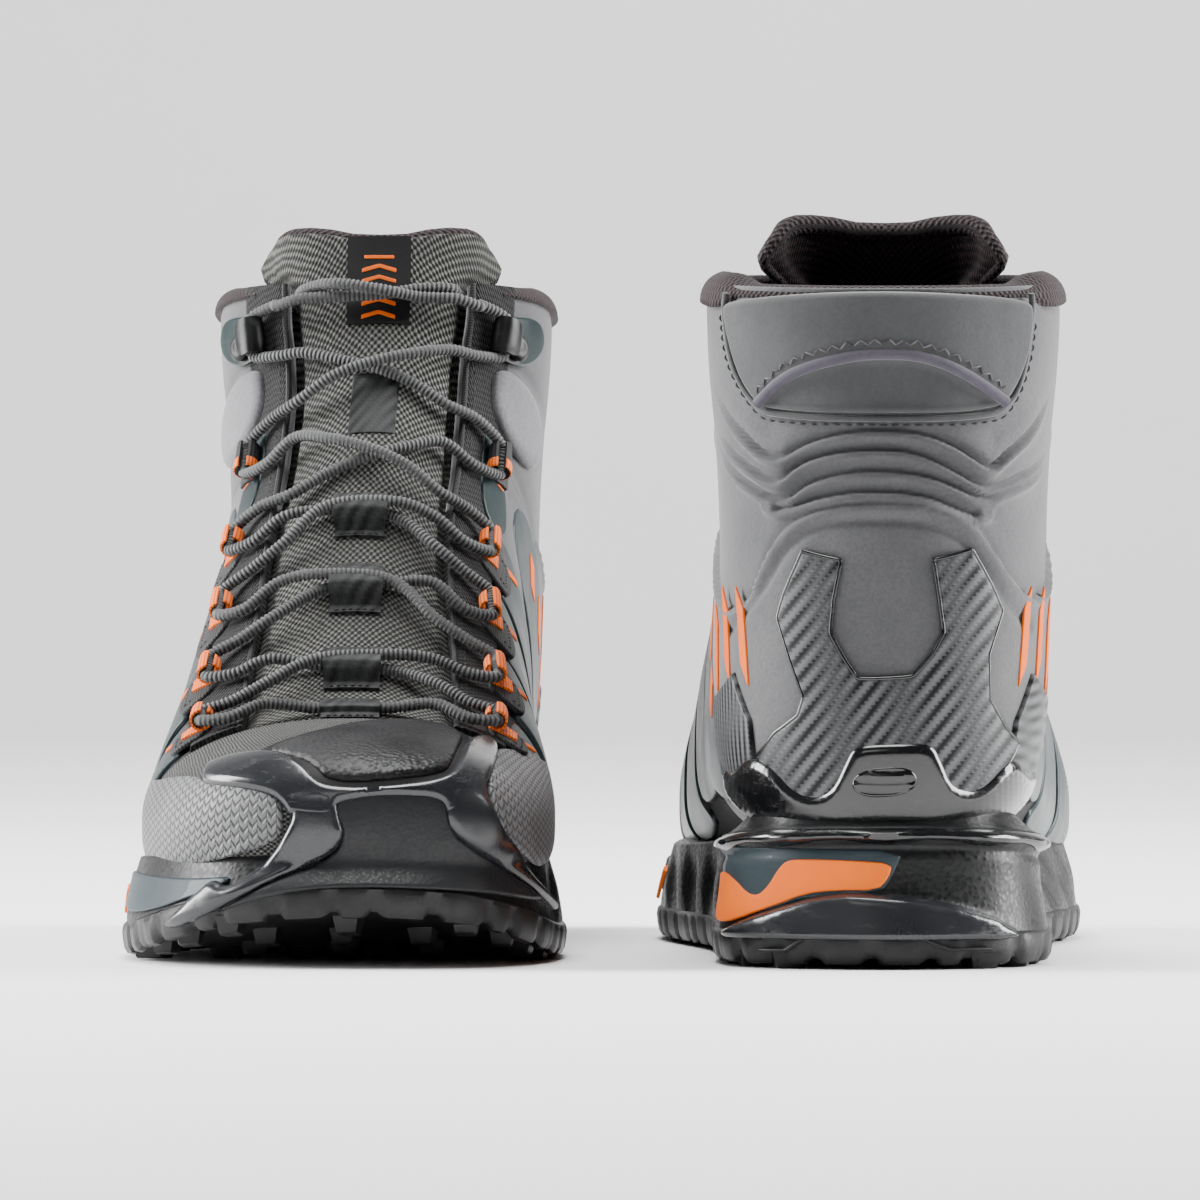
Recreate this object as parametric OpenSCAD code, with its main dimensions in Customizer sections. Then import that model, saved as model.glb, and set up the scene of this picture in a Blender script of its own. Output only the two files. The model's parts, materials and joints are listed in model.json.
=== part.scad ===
// Pair of mid-cut hiking boots, laced, standing side by side.
// The right boot points towards -Y and the left boot towards +Y.
// Each boot is drawn once, as the right boot, in a frame whose x runs from the
// little-toe side (-) to the big-toe side (+), whose y runs from toe to heel and
// whose z is height above the ground.

/* [Overall] */
// Length of one boot from the tip of the outsole to the back of the heel
boot_length = 305; // [290:1:320]
// Distance between the middle lines of the two boots
pair_spacing = 138; // [132:1:180]

/* [Sole] */
// Height of the lugs under the outsole plate
lug_height = 4.5; // [3:0.5:6]
// Thickness of the outsole plate
plate_thickness = 4.5; // [3:0.5:5]
// Rise of the sole at the toe tip
toe_spring = 12; // [8:1:14]
// Where the sole starts to rise, measured from the toe tip
spring_start = 75; // [60:5:90]

/* [Upper] */
// Thickness of the mesh and the moulded shell
shell_thickness = 2; // [1.5:0.1:2.4]
// Thickness of the waterproof bootie
bootie_thickness = 1.2; // [0.8:0.1:1.4]
// Thickness of the overlays glued on the outside
overlay_thickness = 1.4; // [1:0.1:2]
// Thickness of the foam inside the collar
collar_foam_thickness = 5.8; // [4:0.2:6.4]
// Thickness of the removable footbed
footbed_thickness = 4; // [3:0.5:5]

/* [Lacing] */
// Diameter of the round lace
lace_diameter = 3.2; // [2.8:0.1:3.4]
// Width of each webbing loop
loop_width = 6.5; // [5:0.5:8]

/* [Hidden] */
SIDES = ["right", "left"];
PARTS = [
    "outsole", "midsole", "midsole_accent", "shank", "lasting_board", "footbed",
    "heel_stabiliser", "toe_bumper", "side_rand", "vamp", "quarters",
    "quarter_overlays", "ankle_shell", "heel_counter", "pull_flap", "collar_foam",
    "collar_lining", "bootie_lining", "eyestays", "tongue_lower", "tongue_upper",
    "tongue_label", "lace_keepers", "tongue_gusset", "lace_loops", "ankle_loops",
    "lace_hooks", "hook_rivets", "laces", "aglets"
];
NODES = [for (side = SIDES) for (part = PARTS) str(side, "_", part)];
node = "all";

gap = 0.15;                    // between two layers that lie on each other
row_gap = 0.01;                // between two pieces that meet along a row
v_step = 10;                   // degrees between the columns of a shell
top_row = 18;                  // the collar's edge
throat_row = 5;                // where the tongue opening starts
ankle_row = 10;                // where the moulded ankle shell starts
throat_v = 30;                 // half angle of the tongue opening
lasting_v = 140;               // where the upper turns under the foot
tongue_split = 10;             // where the tongue folds back
lace_r = lace_diameter / 2;

// The sections of the foot, from the toe tip to above the collar. Each section is
// an oval in a plane that fans round the instep: front or top point (y, z), back
// or bottom point (y, z), half widths to the little-toe side and to the big-toe
// side, x of the ridge, roundness of the two halves, and how far from the top the
// oval is widest.
SECTIONS = [
    [4.2, 36.5,   4.4, 35.5,    0.6,  0.6,  3.0, 2.0,  2.0, 0.50],
    [6.0, 45.0,   7.5, 26.5,   19.0, 19.5,  2.5, 2.1,  2.5, 0.55],
    [12.0, 51.5,  14.0, 22.5,  34.0, 34.0,  2.0, 2.2,  3.0, 0.58],
    [24.0, 56.0,  26.0, 20.5,  43.5, 43.0,  1.0, 2.2,  3.4, 0.60],
    [42.0, 59.5,  44.0, 19.5,  49.5, 48.5, -0.5, 2.2,  3.8, 0.62],
    [62.0, 63.0,  64.0, 19.0,  53.0, 51.5, -1.5, 2.2,  4.0, 0.62],
    [80.0, 69.5,  88.0, 19.0,  53.0, 52.0, -2.0, 2.15, 4.0, 0.62],
    [98.0, 81.0,  114.0, 20.0, 51.5, 50.5, -2.5, 2.15, 4.0, 0.62],
    [116.0, 96.0, 146.0, 22.5, 49.0, 47.0, -2.5, 2.15, 4.0, 0.62],
    [132.0, 111.0, 185.0, 26.5, 46.5, 44.0, -2.5, 2.2, 3.6, 0.60],
    [145.5, 124.5, 228.0, 28.5, 44.5, 42.5, -2.0, 2.25, 3.2, 0.58],
    [156.0, 136.0, 273.0, 29.0, 43.5, 42.0, -1.0, 2.3, 2.6, 0.55],
    [164.5, 146.0, 294.0, 36.5, 43.0, 42.0, -0.5, 2.3, 2.4, 0.52],
    [171.0, 154.0, 299.0, 62.0, 43.0, 42.0,  0.0, 2.3, 2.3, 0.50],
    [175.5, 160.5, 298.5, 91.5, 43.5, 42.5,  0.0, 2.3, 2.3, 0.50],
    [179.0, 166.0, 297.0, 116.5, 44.5, 43.5, 0.0, 2.3, 2.3, 0.50],
    [181.8, 171.0, 296.0, 137.5, 45.8, 44.8, 0.0, 2.3, 2.3, 0.50],
    [184.2, 176.0, 296.5, 157.0, 46.3, 45.5, 0.0, 2.3, 2.35, 0.50],
    [186.2, 180.5, 297.5, 173.5, 46.5, 45.5, 0.0, 2.3, 2.35, 0.50],
    [188.2, 185.5, 298.5, 181.0, 46.5, 45.5, 0.0, 2.3, 2.35, 0.50],
    [190.0, 190.5, 299.5, 188.0, 46.5, 45.5, 0.0, 2.3, 2.35, 0.50],
    [191.5, 195.0, 300.5, 195.0, 46.5, 45.5, 0.0, 2.3, 2.35, 0.50]
];

// Outline of the outsole: y from the toe tip, x on the little-toe side, x on the
// big-toe side.
SOLE_OUTLINE = [
    [0.5, -6, 11], [3, -20, 24], [9, -34, 36], [20, -45, 44.5], [35, -53.5, 50],
    [55, -59.5, 53.5], [80, -62.5, 54.7], [105, -62, 53], [130, -57.5, 48.5],
    [155, -52, 43], [180, -47, 40], [205, -44.5, 40], [230, -44.5, 42],
    [255, -45, 43.5], [275, -43, 42.5], [290, -35.5, 35.5], [299, -24.5, 24.5],
    [304.5, -9, 9]
];

// A smooth curve through p1 and p2, with the neighbours p0 and p3.
function smooth(p0, p1, p2, p3, t) =
    0.5 * (2 * p1 + (p2 - p0) * t + (2 * p0 - 5 * p1 + 4 * p2 - p3) * t * t
    + (3 * p1 - p0 - 3 * p2 + p3) * t * t * t);

function row(i) = SECTIONS[max(0, min(len(SECTIONS) - 1, i))];

function section(u) =
    let (i = min(floor(u), len(SECTIONS) - 2), t = u - i)
    smooth(row(i - 1), row(i), row(i + 1), row(i + 2), t);

// The outer surface of the upper: u counts sections, v is the angle round the
// section, 0 at the top or front and 180 at the bottom or back, positive towards
// the big toe.
function oval(u, v) =
    let (
        s = section(u), c = cos(v), n = c >= 0 ? s[7] : s[8],
        reach = pow(abs(c), 2 / n),
        along = c >= 0 ? s[9] * (1 - reach) : s[9] + (1 - s[9]) * reach,
        half_width = sin(v) >= 0 ? s[5] : s[4],
        x = s[6] + sign(sin(v)) * half_width * pow(abs(sin(v)), 2 / n)
    )
    [x, s[0] + (s[2] - s[0]) * along, s[1] + (s[3] - s[1]) * along];

function unit(p) = p / norm(p);

function normal(u, v) =
    let (w = max(u, 0.1), du = 0.08, dv = 2)
    unit(cross(
        oval(w, v + dv) - oval(w, v - dv),
        oval(w + du, v) - oval(max(0, w - du), v)));

// A point off the surface, outwards along the normal.
function skin(u, v, off) = oval(u, v) + off * normal(u, v);

function steps(from, to, count) = [for (i = [0:count]) from + (to - from) * i / count];

// A closed shell over the rows us and the columns vs, between two offsets that are
// functions of u and v. A ring joins its last column to its first.
module shell(us, vs, inner, outer, ring = false) {
    nu = len(us);
    nv = len(vs);
    wraps = ring ? nv - 1 : nv - 2;
    count = nu * nv;
    points = concat(
        [for (u = us) for (v = vs) skin(u, v, inner(u, v))],
        [for (u = us) for (v = vs) skin(u, v, outer(u, v))]);
    last = (nu - 1) * nv;
    quads = concat(
        [for (i = [0:nu - 2]) for (j = [0:wraps]) let (a = i * nv, k = (j + 1) % nv)
            [a + j, a + nv + j, a + nv + k, a + k]],
        [for (i = [0:nu - 2]) for (j = [0:wraps]) let (a = count + i * nv, k = (j + 1) % nv)
            [a + j, a + k, a + nv + k, a + nv + j]],
        [for (j = [0:wraps]) let (k = (j + 1) % nv) [j, k, count + k, count + j]],
        [for (j = [0:wraps]) let (a = last, k = (j + 1) % nv)
            [a + k, a + j, count + a + j, count + a + k]],
        ring ? [] : [for (i = [0:nu - 2]) let (a = i * nv)
            [a + nv, a, count + a, count + a + nv]],
        ring ? [] : [for (i = [0:nu - 2]) let (a = i * nv + nv - 1)
            [a, a + nv, count + a + nv, count + a]]);
    triangles = [for (q = quads) each [[q[0], q[2], q[1]], [q[0], q[3], q[2]]]];
    polyhedron(points, triangles, convexity = 6);
}

// The same, with constant offsets over whole rows and columns, a hair short of the
// last row, where the next piece starts.
module layer(u0, u1, v0, v1, inner, outer, step = v_step) {
    shell([for (u = [u0:u1]) u < u1 ? u : u - row_gap], [for (v = [v0:step:v1]) v],
        function (u, v) inner, function (u, v) outer);
}

// The same on both sides of the boot.
module both_sides(u0, u1, v0, v1, inner, outer) {
    layer(u0, u1, v0, v1, inner, outer);
    layer(u0, u1, -v1, -v0, inner, outer);
}

function spring(y) = toe_spring * pow(max(0, spring_start - y) / spring_start, 2);

// A plate across the sole: stations give y, x left, x right, and bottom and top are
// functions of y. The side walls lean in by inset at the top.
module sole_plate(stations, bottom, top, grow = 0, inset = 0) {
    n = len(stations);
    points = [for (s = stations) each [
        [s[1] - grow, s[0], bottom(s[0])], [s[2] + grow, s[0], bottom(s[0])],
        [s[2] + grow - inset, s[0], top(s[0])], [s[1] - grow + inset, s[0], top(s[0])]
    ]];
    walls = [for (i = [0:n - 2]) for (j = [0:3]) let (a = i * 4 + j, b = i * 4 + (j + 1) % 4)
        each [[a, b, b + 4], [a, b + 4, a + 4]]];
    ends = [[0, 3, 2], [0, 2, 1], each let (k = (n - 1) * 4) [[k, k + 1, k + 2], [k, k + 2, k + 3]]];
    polyhedron(points, concat(walls, ends), convexity = 4);
}

// Places children on the surface with z outwards and y towards the collar.
module on_skin(u, v, off) {
    p = skin(u, v, off);
    z = normal(u, v);
    up = oval(u + 0.1, v) - oval(u - 0.1, v);
    y = unit(up - (up * z) * z);
    x = cross(y, z);
    multmatrix([
        [x[0], y[0], z[0], p[0]], [x[1], y[1], z[1], p[1]],
        [x[2], y[2], z[2], p[2]], [0, 0, 0, 1]
    ]) children();
}

/* Sole unit */

plate_top = lug_height + plate_thickness;
MIDSOLE_TOP = [[0, 22.5], [30, 20], [62, 18.6], [100, 18.8], [146, 22], [185, 26],
    [228, 28], [305, 28.4]];
function midsole_top(y) = lookup(y, MIDSOLE_TOP);

// Lugs in rows across the sole: y, and how many fit across.
LUG_ROWS = [[14, 3], [30, 5], [47, 5], [64, 6], [81, 6], [98, 6], [115, 5], [132, 4],
    [222, 4], [239, 4], [256, 4], [273, 4], [289, 3]];
lug_size = 11;

module lug(x, y) {
    translate([x, y, spring(y)])
    rotate([0, 0, 30])
        cylinder(h = lug_height + 1, d1 = lug_size * 0.8, d2 = lug_size, $fn = 6);
}

module outsole() {
    color([0.07, 0.07, 0.075]) {
        sole_plate(SOLE_OUTLINE, function (y) lug_height + spring(y),
            function (y) plate_top + spring(y), 0, 1);
        for (r = LUG_ROWS) {
            left = lookup(r[0], [for (s = SOLE_OUTLINE) [s[0], s[1]]]) + lug_size * 0.6;
            right = lookup(r[0], [for (s = SOLE_OUTLINE) [s[0], s[2]]]) - lug_size * 0.6;
            for (x = steps(left, right, r[1] - 1)) lug(x, r[0]);
        }
    }
}

shank_y = [112, 208];
shank_width = 36;
shank_thickness = 1.4;

module shank() {
    color([0.2, 0.2, 0.2])
    translate([-5 - shank_width / 2, shank_y[0], plate_top + gap])
        cube([shank_width, shank_y[1] - shank_y[0], shank_thickness]);
}

module midsole() {
    color([0.10, 0.10, 0.11])
    difference() {
        sole_plate(SOLE_OUTLINE, function (y) plate_top + spring(y) + gap / 2,
            function (y) max(plate_top + spring(y) + 1, midsole_top(y)), -1.5, 1.5);
        translate([-5 - shank_width / 2 - 0.5, shank_y[0] - 0.5, 0])
            cube([shank_width + 1, shank_y[1] - shank_y[0] + 1,
                plate_top + gap * 2 + shank_thickness]);
    }
}

// A point on the little-toe edge of the sole, moved inwards square to the edge.
function edge_x(y) = lookup(y, [for (s = SOLE_OUTLINE) [s[0], s[1]]]);
function edge(y, inwards) =
    let (t = unit([edge_x(y + 1) - edge_x(y - 1), 2]))
    [edge_x(y) + inwards * t[1], y - inwards * t[0]];

module midsole_accent() {
    color([0.95, 0.42, 0.05]) {
        ys = [212, 222, 236, 252, 268, 280];
        n = len(ys);
        points = [for (y = ys) each [
            [each edge(y, 0.9), 14], [each edge(y, 0.2), 14],
            [each edge(y, 0.2), y < 240 ? 21 : 24], [each edge(y, 0.9), y < 240 ? 21 : 24]
        ]];
        walls = [for (i = [0:n - 2]) for (j = [0:3]) let (a = i * 4 + j, b = i * 4 + (j + 1) % 4)
            each [[a, b + 4, b], [a, a + 4, b + 4]]];
        k = (n - 1) * 4;
        polyhedron(points, concat(walls, [[0, 1, 2], [0, 2, 3], [k, k + 2, k + 1], [k, k + 3, k + 2]]));
    }
}

/* Lasted parts inside */

module lasting_board() {
    color([0.75, 0.72, 0.65])
        shell([for (u = [1:ankle_row]) u < ankle_row ? u : u - row_gap],
            [lasting_v + 0.5, 150, 160, 170, 180, 190, 200, 210, 219.5],
            function (u, v) -shell_thickness, function (u, v) 0);
}

lining_out = -shell_thickness - 0.3;
lining_in = lining_out - bootie_thickness;

module footbed() {
    color([0.20, 0.20, 0.21])
        shell([for (u = [2:11]) u], [150, 170, 190, 210],
            function (u, v) lining_in - gap - footbed_thickness,
            function (u, v) lining_in - gap);
}

/* Upper */

module vamp() {
    color([0.24, 0.24, 0.25])
        layer(0, throat_row, -lasting_v, lasting_v, -shell_thickness, 0);
}

module quarters() {
    color([0.22, 0.22, 0.23])
        both_sides(throat_row, ankle_row, throat_v, lasting_v, -shell_thickness, 0);
}

module ankle_shell() {
    color([0.50, 0.50, 0.51])
        layer(ankle_row, top_row, throat_v, 360 - throat_v, -shell_thickness, 0);
}

LINING_COLUMNS = [35, 50, 70, 90, 110, 130, 150, 170, 190, 210, 230, 250, 270, 290, 310, 325];

module bootie_lining() {
    color([0.12, 0.11, 0.12]) {
        shell([0, 1, 2, 3, 4, 5], [for (v = [-170:20:170]) v],
            function (u, v) lining_in, function (u, v) lining_out, true);
        shell([throat_row + 0.02, 6, 7, 8, 9, 10, 11, 12, 13, 14], LINING_COLUMNS,
            function (u, v) lining_in, function (u, v) lining_out);
    }
}

// The collar's foam is thin beside the tongue and full round the ankle.
collar_v = 50;
function back_angle(v) = abs(v > 180 ? v - 360 : v);
function swell(v) = let (t = min(1, max(0, (back_angle(v) - collar_v) / 35))) t * t * (3 - 2 * t);
function foam_in(v) = lining_out - 0.8 - (collar_foam_thickness - 0.8) * swell(v);
collar_rows = [14.1, 15, 16, 17, top_row];
collar_columns = [for (v = [collar_v:13:360 - collar_v]) v];

module collar_foam() {
    color([0.80, 0.78, 0.60])
        shell(collar_rows, collar_columns, function (u, v) foam_in(v),
            function (u, v) lining_out);
}

module collar_lining() {
    color([0.16, 0.13, 0.14])
        shell(collar_rows, collar_columns, function (u, v) foam_in(v) - gap - 1.2,
            function (u, v) foam_in(v) - gap);
}

module toe_bumper() {
    color([0.26, 0.26, 0.27])
        layer(0, 4, -130, 130, gap, gap + 1.6);
}

module side_rand() {
    color([0.36, 0.36, 0.36])
        both_sides(4, 7, 80, 130, gap, gap + overlay_thickness);
}

module quarter_overlays() {
    color([0.22, 0.32, 0.34])
        both_sides(7, ankle_row, 60, 130, gap, gap + overlay_thickness);
}

module eyestays() {
    color([0.20, 0.20, 0.21])
    difference() {
        both_sides(throat_row, 17, throat_v, 50, gap, gap + overlay_thickness);
        at_hooks() translate([rivet_x, 0, -3]) cylinder(h = 6, d = 3.4, $fn = 24);
    }
}

module heel_stabiliser() {
    color([0.06, 0.06, 0.065])
        shell([11.55, 12, 12.5, 13 - row_gap], [for (v = [120:10:240]) v],
            function (u, v) gap, function (u, v) gap + 2.6);
}

module heel_counter() {
    color([0.17, 0.17, 0.18])
        layer(13, 15, 150, 210, gap, gap + overlay_thickness);
}

module pull_flap() {
    color([0.46, 0.46, 0.46])
        shell([16, 17, 18], [for (v = [150:10:210]) v],
            function (u, v) gap + 1.8 * pow(cos((v - 180) * 3), 2),
            function (u, v) gap + 1.4 + 1.8 * pow(cos((v - 180) * 3), 2));
}

/* Tongue */

wing_v = 30;
tongue_columns = [-42, -36, -30, -22, -11, 0, 11, 22, 30, 36, 42];
tongue_top = -1.4;

// Beside the throat the tongue drops behind the eyestays, and higher up it drops
// further so that the ends of the lace can go down in front of it.
function wing_drop(u) = u < 10.5 ? 3.2 : u < 11.5 ? 4.6 : u < 18.5 ? 6.3 : 3.2;
function tongue_front(u, v) = tongue_top - (abs(v) < wing_v ? 0 : wing_drop(u));
function tongue_back(u, v) = tongue_front(u, v) - (abs(v) < wing_v ? 5 : abs(v) < 40 ? 3.6 : 2);

module tongue_piece(us) {
    shell(us, tongue_columns, function (u, v) tongue_back(u, v),
        function (u, v) tongue_front(u, v));
}

module tongue_lower() {
    color([0.27, 0.27, 0.28])
        tongue_piece([5.3, 6, 7, 8, 9, 9.7]);
}

module tongue_upper() {
    color([0.33, 0.33, 0.33])
        tongue_piece([for (u = [tongue_split:1:21]) u]);
}

module tongue_label() {
    color([0.10, 0.10, 0.10])
        shell([16, 17, 18, 19, 20], [-8, 0, 8], function (u, v) tongue_top + gap,
            function (u, v) tongue_top + gap + 0.6);
}

// Folded web that joins the sides of the lower tongue to the bootie.
module tongue_gusset() {
    color([0.14, 0.14, 0.15])
    for (side = [-1, 1])
        shell([6, 7, 8, 9], side > 0 ? [50, 70] : [-70, -50],
            function (u, v) lining_in - gap - 0.7, function (u, v) lining_in - gap);
}

// Where the lace crosses over the tongue, and the webs that hold it there.
KEEPER_ROWS = [5.5, 6.6, 8.1, 9.45];
keeper_half_v = 9;
keeper_half = 0.24;
keeper_inside = tongue_top + 2 * lace_diameter + 1.2;

function keeper_under(w, u, high) = abs(w - u) > keeper_half * 1.5 ? tongue_top + 2 * gap
    : abs(w - u) > keeper_half ? tongue_top + gap + 1.2 : high;

module lace_keepers() {
    color([0.22, 0.22, 0.23])
    for (i = [0:3]) {
        u = KEEPER_ROWS[i];
        high = i == 0 ? keeper_inside - lace_diameter : keeper_inside;
        rows = [for (k = [-1.6, -1.1, -0.5, 0.5, 1.1, 1.6]) u + k * keeper_half];
        shell(rows, [-keeper_half_v, 0, keeper_half_v],
            function (w, v) keeper_under(w, u, high),
            function (w, v) keeper_under(w, u, high) + 0.8);
    }
}

/* Lacing */

eyestay_top = gap + overlay_thickness;
loop_wall = 0.8;
loop_radius = lace_r + 0.7;
loop_off = eyestay_top + 0.45 + loop_wall + loop_radius;
loop_v = 42;
LOOP_ROWS = [5.55, 7.05, 8.35, 9.65];
ankle_loop_row = 11.75;
hook_row = 15.6;
hook_v = 41;
hook_base = 1.2;
hook_off = eyestay_top + 0.1;
hook_lace_off = hook_off + hook_base + 0.25 + lace_r;
strand_off = eyestay_top + lace_r + 0.5;
low_off = tongue_top + lace_r + 0.4;
high_off = low_off + lace_diameter + 0.25;

// A webbing loop round the lace with its two tails sewn to the eyestay.
module webbing_loop(width, tail) {
    rotate([90, 0, 0])
    linear_extrude(width, center = true)
    difference() {
        circle(loop_radius + loop_wall, $fn = 48);
        circle(loop_radius, $fn = 48);
    }
    translate([loop_radius * 0.9, -width / 2, -loop_radius - loop_wall])
        cube([tail, width, loop_wall]);
}

module mirrored_if(flip) {
    mirror([flip ? 1 : 0, 0, 0]) children();
}

module lace_loops() {
    color([0.95, 0.42, 0.08])
    for (u = LOOP_ROWS) for (side = [-1, 1])
        on_skin(u, side * loop_v, loop_off) mirrored_if(side < 0) webbing_loop(loop_width, 4);
}

module ankle_loops() {
    color([0.10, 0.10, 0.11])
    for (side = [-1, 1])
        on_skin(ankle_loop_row, side * loop_v, loop_off)
        mirrored_if(side < 0) webbing_loop(loop_width + 1, 6);
}

// Open hook: a riveted base plate, a wall beside the throat and a lip over the lace.
module speed_hook() {
    difference() {
        translate([-3.2, -4.5, 0]) cube([13.2, 9, hook_base]);
        translate([rivet_x, 0, -1]) cylinder(h = 5, d = 3.2, $fn = 48);
    }
    translate([-3.2, -4.5, 0]) cube([1.2, 9, 6.4]);
    translate([-3.2, -4.5, 5.2]) cube([7.2, 9, 1.2]);
}

module at_hooks() {
    for (side = [-1, 1])
        on_skin(hook_row, side * hook_v, hook_off) mirrored_if(side < 0) children();
}

module lace_hooks() {
    color([0.25, 0.25, 0.26]) at_hooks() speed_hook();
}

rivet_x = 6.4;

module hook_rivets() {
    color([0.30, 0.30, 0.31])
    at_hooks() translate([rivet_x, 0, 0]) {
        translate([0, 0, hook_base + 0.02]) cylinder(h = 0.9, d = 5, $fn = 48);
        translate([0, 0, -1.2]) cylinder(h = hook_base + 1.3, d = 3, $fn = 48);
    }
}

// The lace's route over the skin: rows, columns and heights of its middle line,
// from the end tucked in on the big-toe side to the end on the little-toe side.
// A turn through a loop or round a hook comes from below, by, and leaves above.
function turn(u, v, du, off, up) =
    let (s = sign(v), a = [u - up * du, v, off], b = [u + up * du, v, off])
    [[u - up * du * 1.5, v - s * 9, max(strand_off, off - 1.5)], a, [u, v + s * 0.4, off], b,
     [u + up * du * 1.5, v - s * 9, max(strand_off, off - 1.5)]];

function across(u0, u1, from_v, to_v, off) =
    let (s = from_v > 0 ? 1 : -1)
    [[u0, s * 22, (strand_off + off) / 2], [u0 * 0.75 + u1 * 0.25, s * 11, off],
     [(u0 + u1) / 2, 0, off],
     [u0 * 0.25 + u1 * 0.75, -s * 11, off], [u1, -s * 22, (strand_off + off) / 2]];

// Tucked end: behind the eyestay edge and down in front of the tongue's wing.
function tucked(s) = [
    [14.2, s * 40, -5.4], [15.2, s * 39, -5.4], [16.3, s * 38, -5.4], [17.1, s * 34, -5.3],
    [17.4, s * 30, -4.0], [17.5, s * 26.5, -1.9], [17.6, s * 21, 1.3]
];

loop_turn = 0.24;
hook_turn = 0.75;

function half_route(s) = concat(
    [[17.5, s * 11, low_off + (s > 0 ? 0.7 : 4.2)], [17.1, 0, low_off + (s > 0 ? 0.7 : 4.2)],
     [16.9, -s * 11, low_off + 1.9], [16.8, -s * 22, strand_off + 0.8],
     [16.6, -s * 30, strand_off + 1]],
    turn(hook_row, -s * hook_v, hook_turn, hook_lace_off, -1),
    across(14.3, 12.4, -s, s, s > 0 ? low_off : high_off),
    turn(ankle_loop_row, s * loop_v, 0.42, loop_off, -1),
    across(11.3, 10.0, s, -s, s > 0 ? low_off : high_off),
    turn(LOOP_ROWS[3], -s * loop_v, loop_turn, loop_off, -1),
    [[9.45, -s * 22, strand_off], [9.5, -s * 9, (s > 0 ? low_off : high_off)],
     [9.4, s * 9, (s > 0 ? low_off : high_off)], [8.9, s * 22, strand_off]],
    turn(LOOP_ROWS[2], s * loop_v, loop_turn, loop_off, -1),
    [[8.2, s * 22, strand_off], [8.15, s * 9, (s > 0 ? low_off : high_off)],
     [8.05, -s * 9, (s > 0 ? low_off : high_off)], [7.6, -s * 22, strand_off]],
    turn(LOOP_ROWS[1], -s * loop_v, loop_turn, loop_off, -1),
    [[6.75, -s * 22, strand_off], [6.65, -s * 9, (s > 0 ? low_off : high_off)],
     [6.55, s * 9, (s > 0 ? low_off : high_off)], [6.2, s * 22, strand_off]],
    turn(LOOP_ROWS[0], s * loop_v, loop_turn, loop_off, -1)
);

function reversed(list) = [for (i = [len(list) - 1:-1:0]) list[i]];

ROUTE = concat(
    tucked(1), half_route(1),
    [[5.42, 22, strand_off], [5.45, 9, low_off], [5.5, 0, low_off], [5.45, -9, low_off],
     [5.42, -22, strand_off]],
    reversed(half_route(-1)), reversed(tucked(-1)));

function route_points() = [for (p = ROUTE) skin(p[0], p[1], p[2])];

// A round cord along points, keeping its twist small from one point to the next.
module cord(points, radius, sides) {
    n = len(points);
    tangents = [for (i = [0:n - 1])
        unit(points[min(i + 1, n - 1)] - points[max(i - 1, 0)])];
    first = unit(cross(tangents[0], [0.3, 0.2, 1]));
    frames = frame_list(tangents, [first], 1);
    ring = [for (i = [0:n - 1]) for (k = [0:sides - 1])
        let (a = 360 * k / sides, s = frames[i], w = cross(tangents[i], s))
        points[i] + radius * (cos(a) * s + sin(a) * w)];
    walls = [for (i = [0:n - 2]) for (k = [0:sides - 1])
        let (a = i * sides + k, b = i * sides + (k + 1) % sides)
        each [[a, b + sides, b], [a, a + sides, b + sides]]];
    start = [for (k = [1:sides - 2]) [0, k, k + 1]];
    m = (n - 1) * sides;
    end = [for (k = [1:sides - 2]) [m, m + k + 1, m + k]];
    polyhedron(ring, concat(walls, start, end), convexity = 10);
}

function frame_list(tangents, done, i) = i >= len(tangents) ? done
    : frame_list(tangents, concat(done, [
        let (s = done[i - 1], t = tangents[i]) unit(s - (s * t) * t)]), i + 1);

module laces() {
    color([0.42, 0.43, 0.44])
        cord(route_points(), lace_r, 6);
}

module aglets() {
    color([0.15, 0.15, 0.16])
    for (s = [-1, 1]) {
        p = skin(14.2, s * 40, -5.4);
        q = skin(15.2, s * 39, -5.2);
        d = unit(p - q);
        multmatrix(turned(d, p + d * 0.1)) cylinder(h = 10, d = 2.6, $fn = 48);
    }
}

// Puts the z axis along d at the point p.
function turned(d, p) =
    let (x = unit(cross([0, 0, 1], d)), y = cross(d, x))
    [[x[0], y[0], d[0], p[0]], [x[1], y[1], d[1], p[1]], [x[2], y[2], d[2], p[2]],
     [0, 0, 0, 1]];

module boot(side) {
    offset = side == "right" ? -1 : 1;
    translate([offset * pair_spacing / 2 + 3.9, 0, 0])
    mirror([0, side == "right" ? 0 : 1, 0])
    translate([0, -boot_length / 2, 0])
        children();
}

function wanted(side, part) = node == "all" || node == str(side, "_", part);

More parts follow.
